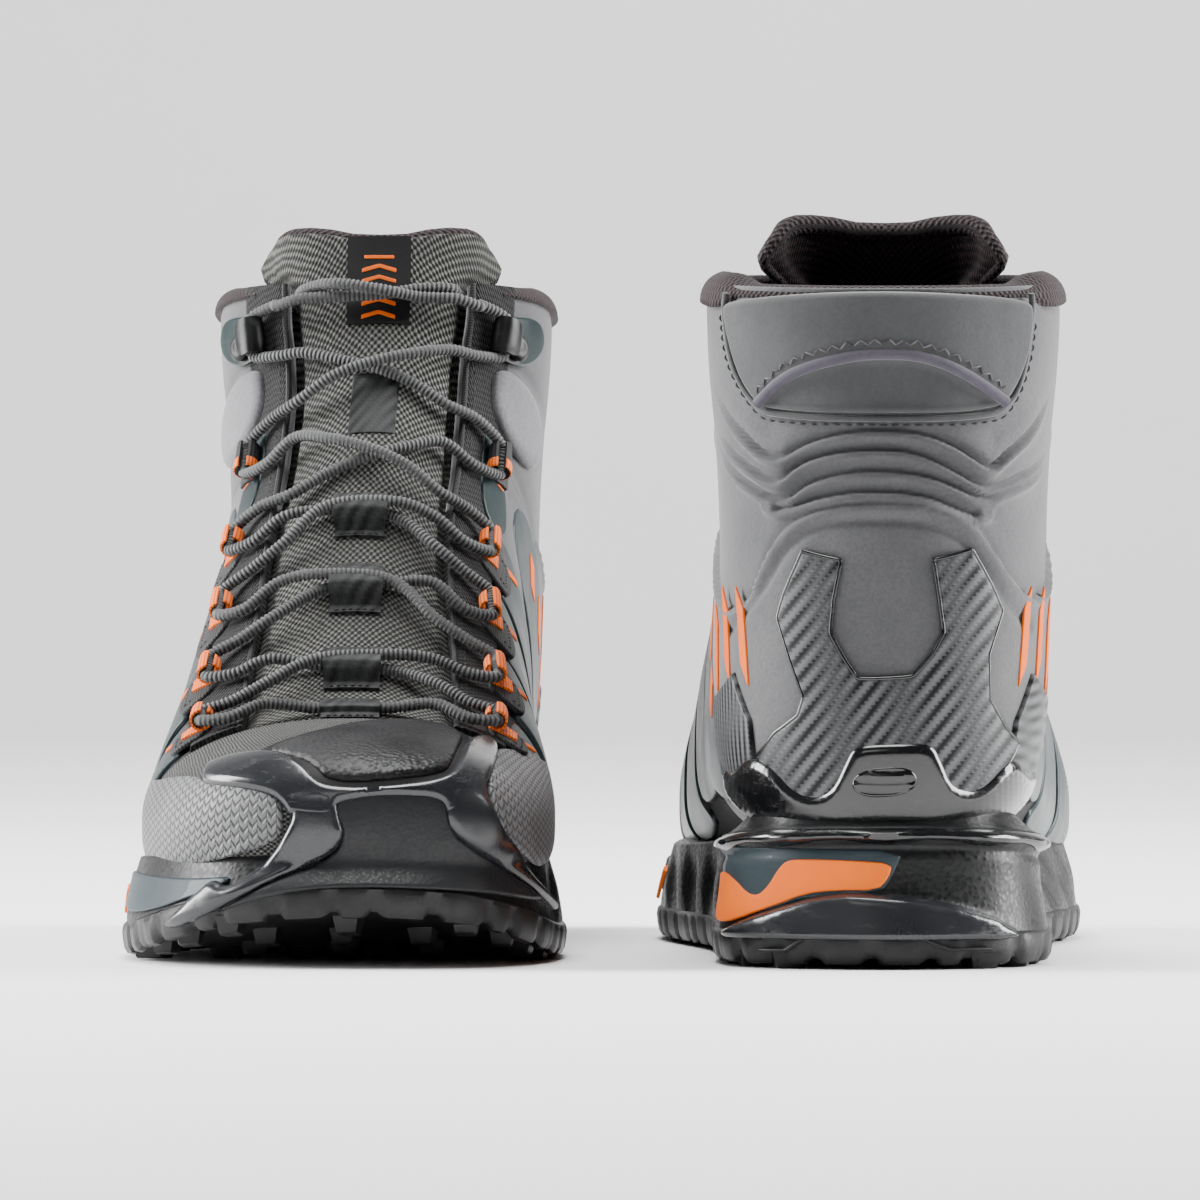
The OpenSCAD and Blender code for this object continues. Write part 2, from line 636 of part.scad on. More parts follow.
for (side = SIDES) boot(side) {
    if (wanted(side, "outsole")) outsole();
    if (wanted(side, "midsole")) midsole();
    if (wanted(side, "midsole_accent")) midsole_accent();
    if (wanted(side, "shank")) shank();
    if (wanted(side, "lasting_board")) lasting_board();
    if (wanted(side, "footbed")) footbed();
    if (wanted(side, "heel_stabiliser")) heel_stabiliser();
    if (wanted(side, "toe_bumper")) toe_bumper();
    if (wanted(side, "side_rand")) side_rand();
    if (wanted(side, "vamp")) vamp();
    if (wanted(side, "quarters")) quarters();
    if (wanted(side, "quarter_overlays")) quarter_overlays();
    if (wanted(side, "ankle_shell")) ankle_shell();
    if (wanted(side, "heel_counter")) heel_counter();
    if (wanted(side, "pull_flap")) pull_flap();
    if (wanted(side, "collar_foam")) collar_foam();
    if (wanted(side, "collar_lining")) collar_lining();
    if (wanted(side, "bootie_lining")) bootie_lining();
    if (wanted(side, "eyestays")) eyestays();
    if (wanted(side, "tongue_lower")) tongue_lower();
    if (wanted(side, "tongue_upper")) tongue_upper();
    if (wanted(side, "tongue_label")) tongue_label();
    if (wanted(side, "lace_keepers")) lace_keepers();
    if (wanted(side, "tongue_gusset")) tongue_gusset();
    if (wanted(side, "lace_loops")) lace_loops();
    if (wanted(side, "ankle_loops")) ankle_loops();
    if (wanted(side, "lace_hooks")) lace_hooks();
    if (wanted(side, "hook_rivets")) hook_rivets();
    if (wanted(side, "laces")) laces();
    if (wanted(side, "aglets")) aglets();
}
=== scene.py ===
import json
import math

import bpy
import numpy as np
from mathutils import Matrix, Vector, geometry
from mathutils.kdtree import KDTree

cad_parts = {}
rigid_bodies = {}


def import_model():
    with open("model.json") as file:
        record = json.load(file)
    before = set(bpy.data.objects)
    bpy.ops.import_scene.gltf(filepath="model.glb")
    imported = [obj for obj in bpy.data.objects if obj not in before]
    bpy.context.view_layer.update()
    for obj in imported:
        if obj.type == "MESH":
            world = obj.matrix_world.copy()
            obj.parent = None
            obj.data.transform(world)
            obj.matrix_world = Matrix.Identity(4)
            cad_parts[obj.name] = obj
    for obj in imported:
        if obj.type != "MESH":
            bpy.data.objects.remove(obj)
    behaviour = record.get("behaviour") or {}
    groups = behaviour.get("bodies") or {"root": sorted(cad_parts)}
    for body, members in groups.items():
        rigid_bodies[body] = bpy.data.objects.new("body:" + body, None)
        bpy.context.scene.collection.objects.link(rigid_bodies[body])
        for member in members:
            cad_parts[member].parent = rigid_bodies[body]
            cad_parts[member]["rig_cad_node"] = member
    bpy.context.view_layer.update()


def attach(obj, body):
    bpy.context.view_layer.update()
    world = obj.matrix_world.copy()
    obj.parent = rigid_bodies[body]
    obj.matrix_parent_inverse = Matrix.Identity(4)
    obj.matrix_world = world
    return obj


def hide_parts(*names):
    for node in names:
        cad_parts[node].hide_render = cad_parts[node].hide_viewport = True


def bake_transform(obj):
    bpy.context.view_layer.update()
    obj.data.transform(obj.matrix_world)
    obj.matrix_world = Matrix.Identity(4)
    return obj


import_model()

# ---------------------------------------------------------------- the boot's own frame, in mm
# x to the big-toe side, y from the toe tip to the heel, z up. Both boots use the right boot's frame.
# A place on the upper is (u, v). u counts the rows of SECTIONS from the toe tip to the collar, and v is
# the angle round the row in degrees: 0 in front, 180 behind, positive on the big-toe side.
LENGTH, SPACING, SHIFT = 305.0, 138.0, 3.9
TOE_SPRING, SPRING_START = 12, 75
SIDES = {"right": -1, "left": 1}
# Each row: y and z in front, y and z behind, half widths on the little-toe and big-toe sides, shift in x,
# roundness in front and behind, and how far back it is widest, from 0 to 1.
SECTIONS = np.array([
    [4.2, 36.5, 4.4, 35.5, .6, .6, 3, 2, 2, .5], [6, 45, 7.5, 26.5, 19, 19.5, 2.5, 2.1, 2.5, .55],
    [12, 51.5, 14, 22.5, 34, 34, 2, 2.2, 3, .58], [24, 56, 26, 20.5, 43.5, 43, 1, 2.2, 3.4, .6],
    [42, 59.5, 44, 19.5, 49.5, 48.5, -.5, 2.2, 3.8, .62], [62, 63, 64, 19, 53, 51.5, -1.5, 2.2, 4, .62],
    [80, 69.5, 88, 19, 53, 52, -2, 2.15, 4, .62], [98, 81, 114, 20, 51.5, 50.5, -2.5, 2.15, 4, .62],
    [116, 96, 146, 22.5, 49, 47, -2.5, 2.15, 4, .62], [132, 111, 185, 26.5, 46.5, 44, -2.5, 2.2, 3.6, .6],
    [145.5, 124.5, 228, 28.5, 44.5, 42.5, -2, 2.25, 3.2, .58],
    [156, 136, 273, 29, 43.5, 42, -1, 2.3, 2.6, .55], [164.5, 146, 294, 36.5, 43, 42, -.5, 2.3, 2.4, .52],
    [171, 154, 299, 62, 43, 42, 0, 2.3, 2.3, .5], [175.5, 160.5, 298.5, 91.5, 43.5, 42.5, 0, 2.3, 2.3, .5],
    [179, 166, 297, 116.5, 44.5, 43.5, 0, 2.3, 2.3, .5],
    [181.8, 171, 296, 137.5, 45.8, 44.8, 0, 2.3, 2.3, .5],
    [184.2, 176, 296.5, 157, 46.3, 45.5, 0, 2.3, 2.35, .5],
    [186.2, 180.5, 297.5, 173.5, 46.5, 45.5, 0, 2.3, 2.35, .5],
    [188.2, 185.5, 298.5, 181, 46.5, 45.5, 0, 2.3, 2.35, .5],
    [190, 190.5, 299.5, 188, 46.5, 45.5, 0, 2.3, 2.35, .5],
    [191.5, 195, 300.5, 195, 46.5, 45.5, 0, 2.3, 2.35, .5]])
# The sole seen from above: y, and its edges in x on the little-toe and big-toe sides.
SOLE = np.array([
    [.5, -6, 11], [3, -20, 24], [9, -34, 36], [20, -45, 44.5], [35, -53.5, 50], [55, -59.5, 53.5],
    [80, -62.5, 54.7], [105, -62, 53], [130, -57.5, 48.5], [155, -52, 43], [180, -47, 40],
    [205, -44.5, 40], [230, -44.5, 42], [255, -45, 43.5], [275, -43, 42.5], [290, -35.5, 35.5],
    [299, -24.5, 24.5], [304.5, -9, 9]])


def catmull(rows, t):
    """A smooth curve through rows of numbers, read at t counted in rows."""
    i = np.clip(np.floor(t).astype(int), 0, len(rows) - 2)
    f = (t - i)[..., None]
    a, b, c, d = (rows[np.clip(i + k, 0, len(rows) - 1)] for k in (-1, 0, 1, 2))
    return .5 * (2 * b + (c - a) * f + (2 * a - 5 * b + 4 * c - d) * f * f + (3 * b - a - 3 * c + d) * f ** 3)


def oval(u, v):
    """The upper's skin as 3-D points."""
    u, v = np.broadcast_arrays(np.asarray(u, float), np.asarray(v, float))
    sections = catmull(SECTIONS, u)
    front_y, front_z, back_y, back_z, outer, inner = (sections[..., i] for i in range(6))
    shift, front_round, back_round, widest = (sections[..., i] for i in range(6, 10))
    c, sn = np.cos(np.radians(v)), np.sin(np.radians(v))
    n = np.where(c >= 0, front_round, back_round)
    reach = np.abs(c) ** (2 / n)
    along = np.where(c >= 0, widest * (1 - reach), widest + (1 - widest) * reach)
    x = shift + np.sign(sn) * np.where(sn >= 0, inner, outer) * np.abs(sn) ** (2 / n)
    return np.stack([x, front_y + (back_y - front_y) * along, front_z + (back_z - front_z) * along], -1)


def unit(a):
    return a / np.maximum(np.linalg.norm(a, axis=-1, keepdims=True), 1e-9)


def normal(u, v):
    w = np.maximum(u, .1)
    round_it = oval(w, v + 2) - oval(w, v - 2)
    return unit(np.cross(round_it, oval(w + .08, v) - oval(np.maximum(0, w - .08), v)))


def skin(u, v, off=0):
    """Points off millimetres outside the upper's skin."""
    return oval(u, v) + np.asarray(off, float)[..., None] * normal(u, v)


# The tables of lengths have ROW_PARTS lines for each row of SECTIONS, and a column every COLUMN_STEP degrees.
ROW_PARTS, COLUMN_STEP, FIRST_COLUMN = 10, 2., -180
TABLE_ROWS = np.arange(0, 21.01, 1 / ROW_PARTS)
TABLE_COLUMNS = np.arange(FIRST_COLUMN, 332, COLUMN_STEP)


def run(points, axis=0):
    """Length so far along lines of points."""
    sizes = np.linalg.norm(np.diff(points, axis=axis), axis=-1)
    return np.concatenate([0 * np.take(sizes, [0], axis), np.cumsum(sizes, axis)], axis)


def arc_tables():
    """Millimetres round each row from the middle of its front, and up each column from the toe."""
    p = oval(TABLE_ROWS[:, None], TABLE_COLUMNS[None, :])
    across = run(p, 1)
    front = int(-FIRST_COLUMN / COLUMN_STEP)
    return across - across[:, front:front + 1], run(p, 0)


ACROSS, ALONG = arc_tables()


def between(table, a, b):
    """A table's value at a, b, counted in cells."""
    i, j = a.astype(int), b.astype(int)
    f, g = a - i, b - j
    return (1 - f) * (1 - g) * table[i, j] + f * (1 - g) * table[i + 1, j] + (1 - f) * g * table[i, j + 1] \
        + f * g * table[i + 1, j + 1]


def skin_uv(u, v):
    """Millimetres round the row and millimetres along the boot, for the weaves."""
    u, v = np.broadcast_arrays(np.asarray(u, float), np.asarray(v, float))
    a = np.clip(u * ROW_PARTS, 0, len(TABLE_ROWS) - 1.001)
    b = np.clip((v - FIRST_COLUMN) / COLUMN_STEP, 0, len(TABLE_COLUMNS) - 1.001)
    return np.stack([between(t, a, b) for t in (ACROSS, ALONG)], -1)


# ---------------------------------------------------------------- meshes
class Shape:
    """Points, faces, UVs in millimetres and material numbers, gathered piece by piece."""

    def __init__(self):
        self.v, self.f, self.uv, self.m, self.n = [], [], [], [], 0

    def add(self, v, faces, uv=None, m=0):
        v = np.asarray(v, float).reshape(-1, 3)
        uv = v[:, :2] if uv is None else np.asarray(uv, float).reshape(-1, 2)
        for f in faces if isinstance(faces, list) else [faces]:
            if len(f):
                self.f.append(np.asarray(f) + self.n)
                self.m.append(np.full(len(f), m))
        self.v.append(v)
        self.uv.append(uv)
        self.n += len(v)
        return self

    def join(self, other):
        for v, uv in zip(other.v, other.uv):
            self.v.append(v)
            self.uv.append(uv)
        for f, m in zip(other.f, other.m):
            self.f.append(f + self.n)
            self.m.append(m)
        self.n += other.n
        return self


def place(side, p):
    """From the boot's own frame in mm to the pair's frame in metres."""
    sign = SIDES[side]
    return np.stack([p[..., 0] + SHIFT + sign * SPACING / 2, -sign * (p[..., 1] - LENGTH / 2), p[..., 2]],
                    -1) / 1000


def build(name, shape, materials, replaces=(), body="boot", sharp=50, ride=True):
    """The piece once for each boot, with its bodies, CAD nodes and finish."""
    made = []
    v, uv = np.concatenate(shape.v), np.concatenate(shape.uv)
    for side in SIDES:
        flip = side == "left"
        faces, mats = [], []
        for f, m in zip(shape.f, shape.m):
            faces += (f[:, ::-1] if flip else f).tolist()
            mats.append(m)
        mesh = bpy.data.meshes.new(f"{side}_{name}_shape")
        mesh.from_pydata(place(side, v), [], faces)
        for m in materials if isinstance(materials, (list, tuple)) else [materials]:
            mesh.materials.append(m)
        mesh.polygons.foreach_set("material_index", np.concatenate(mats).astype(np.int32))
        index = np.zeros(len(mesh.loops), np.int32)
        mesh.loops.foreach_get("vertex_index", index)
        layer = mesh.uv_layers.new(name="UVMap")
        layer.data.foreach_set("uv", uv[index].astype(np.float32).ravel())
        mesh.polygons.foreach_set("use_smooth", np.ones(len(mesh.polygons), bool))
        if sharp:
            mesh.set_sharp_from_angle(angle=math.radians(sharp))
        o = bpy.data.objects.new(f"{side}_{name}", mesh)
        bpy.context.scene.collection.objects.link(o)
        if ride:
            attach(o, f"{side}_{body}")
        if replaces:
            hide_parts(*[f"{side}_{r}" for r in replaces])
        made.append(o)
    return made


def quads(rows, cols, start=0, ring=False, flip=False):
    """The faces of a grid of points; ring joins its last column to its first."""
    i, j = np.meshgrid(np.arange(rows - 1), np.arange(cols if ring else cols - 1), indexing="ij")
    k = (j + 1) % cols
    q = np.stack([i * cols + j, i * cols + k, (i + 1) * cols + k, (i + 1) * cols + j], -1).reshape(-1, 4)
    return (q[:, ::-1] if flip else q) + start


def slab(outer, inner, uv=None):
    """A closed sheet between two grids of points; outer faces along +(columns x rows)."""
    r, c = outer.shape[:2]
    n, last = r * c, (r - 1) * c
    j, i = np.arange(c - 1), np.arange(r - 1) * c
    k = j + 1
    faces = [quads(r, c), quads(r, c, n, flip=True),
             np.stack([k, j, n + j, n + k], -1),
             np.stack([last + j, last + k, n + last + k, n + last + j], -1),
             np.stack([i, i + c, n + i + c, n + i], -1),
             np.stack([i + c + c - 1, i + c - 1, n + i + c - 1, n + i + c + c - 1], -1)]
    if uv is None:
        uv = np.zeros((r, c, 2))
    return Shape().add(np.concatenate([outer.reshape(-1, 3), inner.reshape(-1, 3)]), faces,
                       np.concatenate([uv.reshape(-1, 2)] * 2))


def shell(us, vs, outer, inner):
    """A closed shell on the upper's skin, with offsets that are functions of u and v."""
    u, v = np.meshgrid(us, vs, indexing="ij")
    return slab(skin(u, v, outer(u, v)), skin(u, v, inner(u, v)), skin_uv(u, v))


def spread(a, b, gap):
    """Even numbers from a to b, about one gap apart."""
    return np.linspace(a, b, max(2, int(round(abs(b - a) / gap)) + 1))


def soften(points, times=3, closed=True):
    """Cuts the corners of a line a few times."""
    p = np.asarray(points, float)
    for _ in range(times):
        q = np.roll(p, -1, 0) if closed else p[1:]
        a = p if closed else p[:-1]
        cut = np.stack([.75 * a + .25 * q, .25 * a + .75 * q], 1).reshape(-1, p.shape[1])
        p = cut if closed else np.concatenate([p[:1], cut, p[-1:]])
    return p


def resample(points, gap, closed=False):
    """The same line with its points about one gap apart."""
    p = np.asarray(points, float)
    if closed:
        p = np.concatenate([p, p[:1]])
    s = run(p)
    n = max(3, int(round(s[-1] / gap)))
    t = np.linspace(0, s[-1], n + 1)
    q = np.stack([np.interp(t, s, p[:, k]) for k in range(p.shape[1])], 1)
    return q[:-1] if closed else q


def from_line(points, line):
    """Distance from each 2-D point to a polyline, and how far along the line it is."""
    best, at, s = np.full(len(points), 1e9), np.zeros(len(points)), 0.
    for a, b in zip(line[:-1], line[1:]):
        d = b - a
        size = float(d @ d)
        if size < 1e-12:
            continue
        t = np.clip(((points - a) @ d) / size, 0, 1)
        away = np.linalg.norm(points - a - t[:, None] * d, axis=1)
        near = away < best
        best, at = np.where(near, away, best), np.where(near, s + t * math.sqrt(size), at)
        s += math.sqrt(size)
    return best, at


def inside(points, loop):
    """Which 2-D points lie inside a closed line."""
    x, y = points[:, 0], points[:, 1]
    result = np.zeros(len(points), bool)
    for a, b in zip(loop, np.roll(loop, -1, 0)):
        if a[1] != b[1]:
            hit = (a[1] > y) != (b[1] > y)
            result ^= hit & (x < (b[0] - a[0]) * (y - a[1]) / (b[1] - a[1]) + a[0])
    return result


class SkinChart:
    """Flat coordinates in mm for a patch of the boot's surface: x across at one row, y along one column."""

    def __init__(self, u, v):
        self.y = ALONG[:, int(round((v - FIRST_COLUMN) / COLUMN_STEP))]
        self.x = ACROSS[int(round(u * ROW_PARTS))]

    def flat(self, uv):
        uv = np.asarray(uv, float)
        return np.stack([np.interp(uv[:, 1], TABLE_COLUMNS, self.x),
                         np.interp(uv[:, 0], TABLE_ROWS, self.y)], 1)

    def back(self, p):
        return np.interp(p[:, 1], self.y, TABLE_ROWS), np.interp(p[:, 0], self.x, TABLE_COLUMNS)

    def lift(self, p, off):
        return skin(*self.back(p), off)

    def up(self, p):
        return normal(*self.back(p))

    def uv(self, p):
        return skin_uv(*self.back(p))


def sole_loop():
    """The sole's outline seen from above, as a closed smooth line that starts at the middle of the heel
    and runs up the big-toe side; distances from the heel are positive there and negative outside."""
    side = [[x, y] for y, _, x in SOLE[::-1]] + [[x, y] for y, x, _ in SOLE]
    p = resample(soften([[0, 305]] + side, 3), 1.0, True)
    return np.roll(p, -int(np.argmax(p[:, 1] - np.abs(p[:, 0]) * .5)), 0)


LOOP = sole_loop()
if LOOP[10, 0] < LOOP[0, 0]:
    LOOP = np.roll(LOOP[::-1], 1, 0)
AROUND = len(LOOP)
OUTWARD = np.roll(LOOP, -1, 0) - np.roll(LOOP, 1, 0)
OUTWARD = unit(sum(np.roll(OUTWARD, k, 0) for k in range(-3, 4)))
OUTWARD = np.stack([OUTWARD[:, 1], -OUTWARD[:, 0]], 1)
if (OUTWARD[0] @ [0, 1]) < 0:
    OUTWARD = -OUTWARD


def spring(y):
    """How far the sole rises towards the toe tip."""
    return TOE_SPRING * (np.maximum(0, SPRING_START - y) / SPRING_START) ** 2


def rim(s):
    """The sole's outline s millimetres round from the heel, and the direction outwards there."""
    i = np.floor(s).astype(int)
    f = (s - i)[..., None]
    p = LOOP[i % AROUND] * (1 - f) + LOOP[(i + 1) % AROUND] * f
    return p, unit(OUTWARD[i % AROUND] * (1 - f) + OUTWARD[(i + 1) % AROUND] * f)


def wall(s, z, off):
    """A point on the side of the sole: mm round from the heel, height, and mm outwards."""
    s, z, off = np.broadcast_arrays(*(np.asarray(k, float) for k in (s, z, off)))
    p, n = rim(s)
    return np.concatenate([p + n * off[..., None], z[..., None]], -1)


class FilmChart(SkinChart):
    """As SkinChart, with the pattern laid straight on from behind."""

    def uv(self, p):
        return skin(*self.back(p))[:, [0, 2]]


class WallChart:
    """Flat coordinates for the side of the sole: mm round it and height, on a leaning wall."""

    def __init__(self, lean):
        self.lean = lean

    def flat(self, sz):
        return np.asarray(sz, float)

    def lift(self, p, off):
        return wall(p[:, 0], p[:, 1], self.lean(p[:, 0], p[:, 1]) + off)

    def up(self, p):
        n = rim(p[:, 0])[1]
        return np.concatenate([n, 0 * n[:, :1]], 1)

    def uv(self, p):
        return p.copy()


# Rings of points inside a panel's rounded edge, as shares of the edge's radius.
EDGE_RINGS = (.06, .22, .5, .8, 1.05)


def panel_points(loop, radius, spacing):
    """The panel's outline, rings along its rounded edge, and a staggered grid in its middle."""
    along = unit(np.roll(loop, -1, 0) - np.roll(loop, 1, 0))
    inward = np.stack([-along[:, 1], along[:, 0]], 1)
    line = np.concatenate([loop, loop[:1]])
    points = [loop]
    for share in EDGE_RINGS:
        q = loop + inward * radius * share
        d, _ = from_line(q, line)
        points.append(q[(d > radius * share * .93) & inside(q, loop)])
    low, high = loop.min(0), loop.max(0)
    x, y = np.meshgrid(np.arange(low[0], high[0], spacing), np.arange(low[1], high[1], spacing * .87),
                       indexing="ij")
    x = x + (np.arange(x.shape[1])[None, :] % 2) * spacing / 2
    grid = np.stack([x.ravel(), y.ravel()], 1)
    grid = grid[inside(grid, loop)]
    d, _ = from_line(grid, line)
    points.append(grid[d > radius * 1.05 + spacing * .4])
    return np.concatenate(points)


def triangles(points, count):
    """Triangles of one turn over 2-D points, the first count of which are the outline."""
    out = geometry.delaunay_2d_cdt([Vector(p) for p in points], [], [list(range(count))], 1, 1e-5)
    xy = np.array([list(p) for p in out[0]])
    tri = np.array([f for f in out[2] if len(f) == 3])
    a, b, c = (xy[tri[:, k]] for k in range(3))
    turned = (b[:, 0] - a[:, 0]) * (c[:, 1] - a[:, 1]) - (b[:, 1] - a[:, 1]) * (c[:, 0] - a[:, 0]) < 0
    tri[turned] = tri[turned][:, ::-1]
    return xy, tri


def open_edges(tri):
    """The edges that only one triangle has."""
    ends = {}
    for a, b, c in tri.tolist():
        for e in ((a, b), (b, c), (c, a)):
            if (e[1], e[0]) in ends:
                del ends[(e[1], e[0])]
            else:
                ends[e] = True
    return ends


def panel(chart, outline, height=1.4, radius=1.2, base=-.4, spacing=1.6, edge=.9, relief=None, floor=0.,
          smooth=2):
    """A closed patch with a rounded edge. It stands height above floor, and its underside is at floor + base;
    relief adds to the height; spacing and edge are the distances between its points."""
    flat = chart.flat(outline)
    area = np.sum(flat[:, 0] * np.roll(flat[:, 1], -1) - np.roll(flat[:, 0], -1) * flat[:, 1])
    if area < 0:
        flat = flat[::-1]
    loop = resample(soften(flat, smooth), edge, True)
    xy, tri = triangles(panel_points(loop, radius, spacing), len(loop))
    d, _ = from_line(xy, np.concatenate([loop, loop[:1]]))
    inward = np.clip(d / radius, 0, 1)
    off = floor + height * np.sqrt(np.maximum(0, 1 - (1 - inward) ** 2))
    if relief is not None:
        off = off + relief(xy) * inward
    top, low = chart.lift(xy, off), chart.lift(xy, np.full(len(xy), floor + base))
    n = len(xy)
    sides = np.array([[b, a, n + a, n + b] for a, b in open_edges(tri)]).reshape(-1, 4)
    uv = chart.uv(xy)
    return Shape().add(np.concatenate([top, low]), [tri, tri[:, ::-1] + n, sides], np.concatenate([uv, uv]))


def frames(points):
    """Two directions across a line of 3-D points, without twist from one point to the next."""
    tangent = unit(np.gradient(points, axis=0))
    side = np.zeros_like(points)
    s = np.cross(tangent[0], [.31, .17, .93])
    for i, t in enumerate(tangent):
        s = s - (s @ t) * t
        s = s / max(np.linalg.norm(s), 1e-9)
        side[i] = s
    return side, np.cross(tangent, side)


def end_caps(rings, sides):
    """The two flat ends of a bar made of rings."""
    k = np.arange(1, sides - 1)
    return [np.stack([0 * k, k + 1, k], -1), np.stack([0 * k, k, k + 1], -1) + (rings - 1) * sides]


def tube(points, radius, sides=10, closed=False):
    """A round bar along a line; radius is one number, one for each row, or one for each row and side."""
    p = np.asarray(points, float)
    if closed:
        p = np.concatenate([p, p[:1]])
    a, b = frames(p)
    n = len(p)
    angle = np.arange(sides) * 2 * np.pi / sides
    r = np.asarray(radius, float)
    r = np.broadcast_to(r[:, None] if r.ndim == 1 else r, (n, sides))
    ring = p[:, None] + r[..., None] * (np.cos(angle)[None, :, None] * a[:, None]
                                        + np.sin(angle)[None, :, None] * b[:, None])
    uv = np.stack(np.broadcast_arrays(run(p)[:, None], (angle * np.mean(r))[None, :]), -1)
    caps = [] if closed else end_caps(n, sides)
    return Shape().add(ring, [quads(n, sides, 0, True)] + caps, uv)


def stitches(line, pitch=3., length=2.1, width=.38, off=.5, m=0, zigzag=0.):
    """Short threads set along a (u, v) line, one each pitch, dipping into the cloth at their ends."""
    c = SkinChart(float(np.mean([p[0] for p in line])), float(np.mean([p[1] for p in line])))
    flat = resample(c.flat(line), .5)
    s = run(flat)
    shape = Shape()
    angle = np.arange(6) * np.pi / 3
    lift = np.array([-.6, .35, .75, .35, -.6])
    fat = np.array([.5, .95, 1, .95, .5])
    for i in range(int(s[-1] / pitch)):
        t = (i + .5) * pitch + length * np.linspace(-.5, .5, 5)
        q = np.stack([np.interp(t, s, flat[:, k]) for k in (0, 1)], 1)
        if zigzag:
            d = unit(q[-1] - q[0])
            q = q + np.outer(np.linspace(-1, 1, 5) * (1 if i % 2 else -1) * zigzag, [-d[1], d[0]])
        p, up = c.lift(q, off + lift * width), c.up(q)
        side = np.cross(up, unit(np.gradient(p, axis=0)))
        ring = p[:, None] + width * fat[:, None, None] * (np.cos(angle)[None, :, None] * side[:, None]
                                                          + np.sin(angle)[None, :, None] * up[:, None])
        shape.add(ring, [quads(5, 6, 0, True)], np.zeros((30, 2)) + t[2], m)
    return shape


# ---------------------------------------------------------------- materials
# The lace's ribs, in mm along the cord.
LACE_PITCH = 1.25


def srgb(r, g, b):
    """A colour given as 0 to 255, in the linear values that nodes take."""
    return tuple(((c / 255 + .055) / 1.055) ** 2.4 if c > 10 else c / 255 / 12.92 for c in (r, g, b)) + (1,)


class Paint:
    """One material, with short names for the nodes it is made of."""

    def __init__(self, name):
        self.mat = bpy.data.materials.new(name)
        self.mat.use_nodes = True
        self.tree = self.mat.node_tree
        self.bsdf = self.tree.nodes["Principled BSDF"]
        self.uvmap = self.new("ShaderNodeUVMap")
        self.uvmap.uv_map = "UVMap"
        split = self.new("ShaderNodeSeparateXYZ")
        self.link(self.uvmap.outputs[0], split.inputs[0])
        self.p, self.q = split.outputs[0], split.outputs[1]
        self.object = self.new("ShaderNodeTexCoord").outputs["Object"]

    def new(self, kind):
        return self.tree.nodes.new(kind)

    def link(self, a, b):
        self.tree.links.new(a, b)

    def put(self, socket, value):
        if hasattr(value, "is_output"):
            self.link(value, socket)
        else:
            socket.default_value = value

    def math(self, op, a, b=0., c=0.):
        n = self.new("ShaderNodeMath")
        n.operation = op
        for s, value in zip(n.inputs, (a, b, c)):
            self.put(s, value)
        return n.outputs[0]

    def noise(self, scale, detail=2., rough=.5, stretch=None):
        n = self.new("ShaderNodeTexNoise")
        where = self.object
        if stretch:
            k = self.new("ShaderNodeVectorMath")
            k.operation = "MULTIPLY"
            self.link(where, k.inputs[0])
            k.inputs[1].default_value = stretch
            where = k.outputs[0]
        self.link(where, n.inputs["Vector"])
        n.inputs["Scale"].default_value = scale
        n.inputs["Detail"].default_value = detail
        n.inputs["Roughness"].default_value = rough
        return n.outputs[0]

    def cells(self, scale):
        n = self.new("ShaderNodeTexVoronoi")
        n.feature = "SMOOTH_F1"
        self.link(self.object, n.inputs["Vector"])
        n.inputs["Scale"].default_value = scale
        return n.outputs["Distance"]

    def ramp(self, value, *stops):
        n = self.new("ShaderNodeValToRGB")
        e = n.color_ramp.elements
        while len(e) < len(stops):
            e.new(.5)
        for s, (at, colour) in zip(e, stops):
            s.position, s.color = at, colour if len(colour) == 4 else tuple(colour) + (1,)
        self.link(value, n.inputs[0])
        return n.outputs[0]

    def grey(self, value, a, b, lo=0., hi=1.):
        """value from a to b becomes lo to hi."""
        n = self.new("ShaderNodeMapRange")
        for s, x in zip(n.inputs, (value, a, b, lo, hi)):
            self.put(s, x)
        return n.outputs[0]

    def mix(self, f, a, b):
        n = self.new("ShaderNodeMix")
        n.data_type = "RGBA"
        self.put(n.inputs[0], f)
        self.put(n.inputs[6], a)
        self.put(n.inputs[7], b)
        return n.outputs[2]

    def wave(self, value, period):
        return self.math("COSINE", self.math("MULTIPLY", value, 2 * math.pi / period))

    def bump(self, height, depth, strength=1., after=None):
        """height from 0 to 1 stands depth millimetres tall."""
        n = self.new("ShaderNodeBump")
        n.inputs["Strength"].default_value = strength
        n.inputs["Distance"].default_value = depth / 1000
        self.link(height, n.inputs["Height"])
        if after is not None:
            self.link(after, n.inputs["Normal"])
        return n.outputs[0]

    def done(self, colour, rough=.7, normal=None, **fixed):
        self.put(self.bsdf.inputs["Base Color"], colour)
        self.put(self.bsdf.inputs["Roughness"], rough)
        if normal is not None:
            self.link(normal, self.bsdf.inputs["Normal"])
        for name, value in fixed.items():
            self.bsdf.inputs[name.replace("_", " ")].default_value = value
        return self.mat


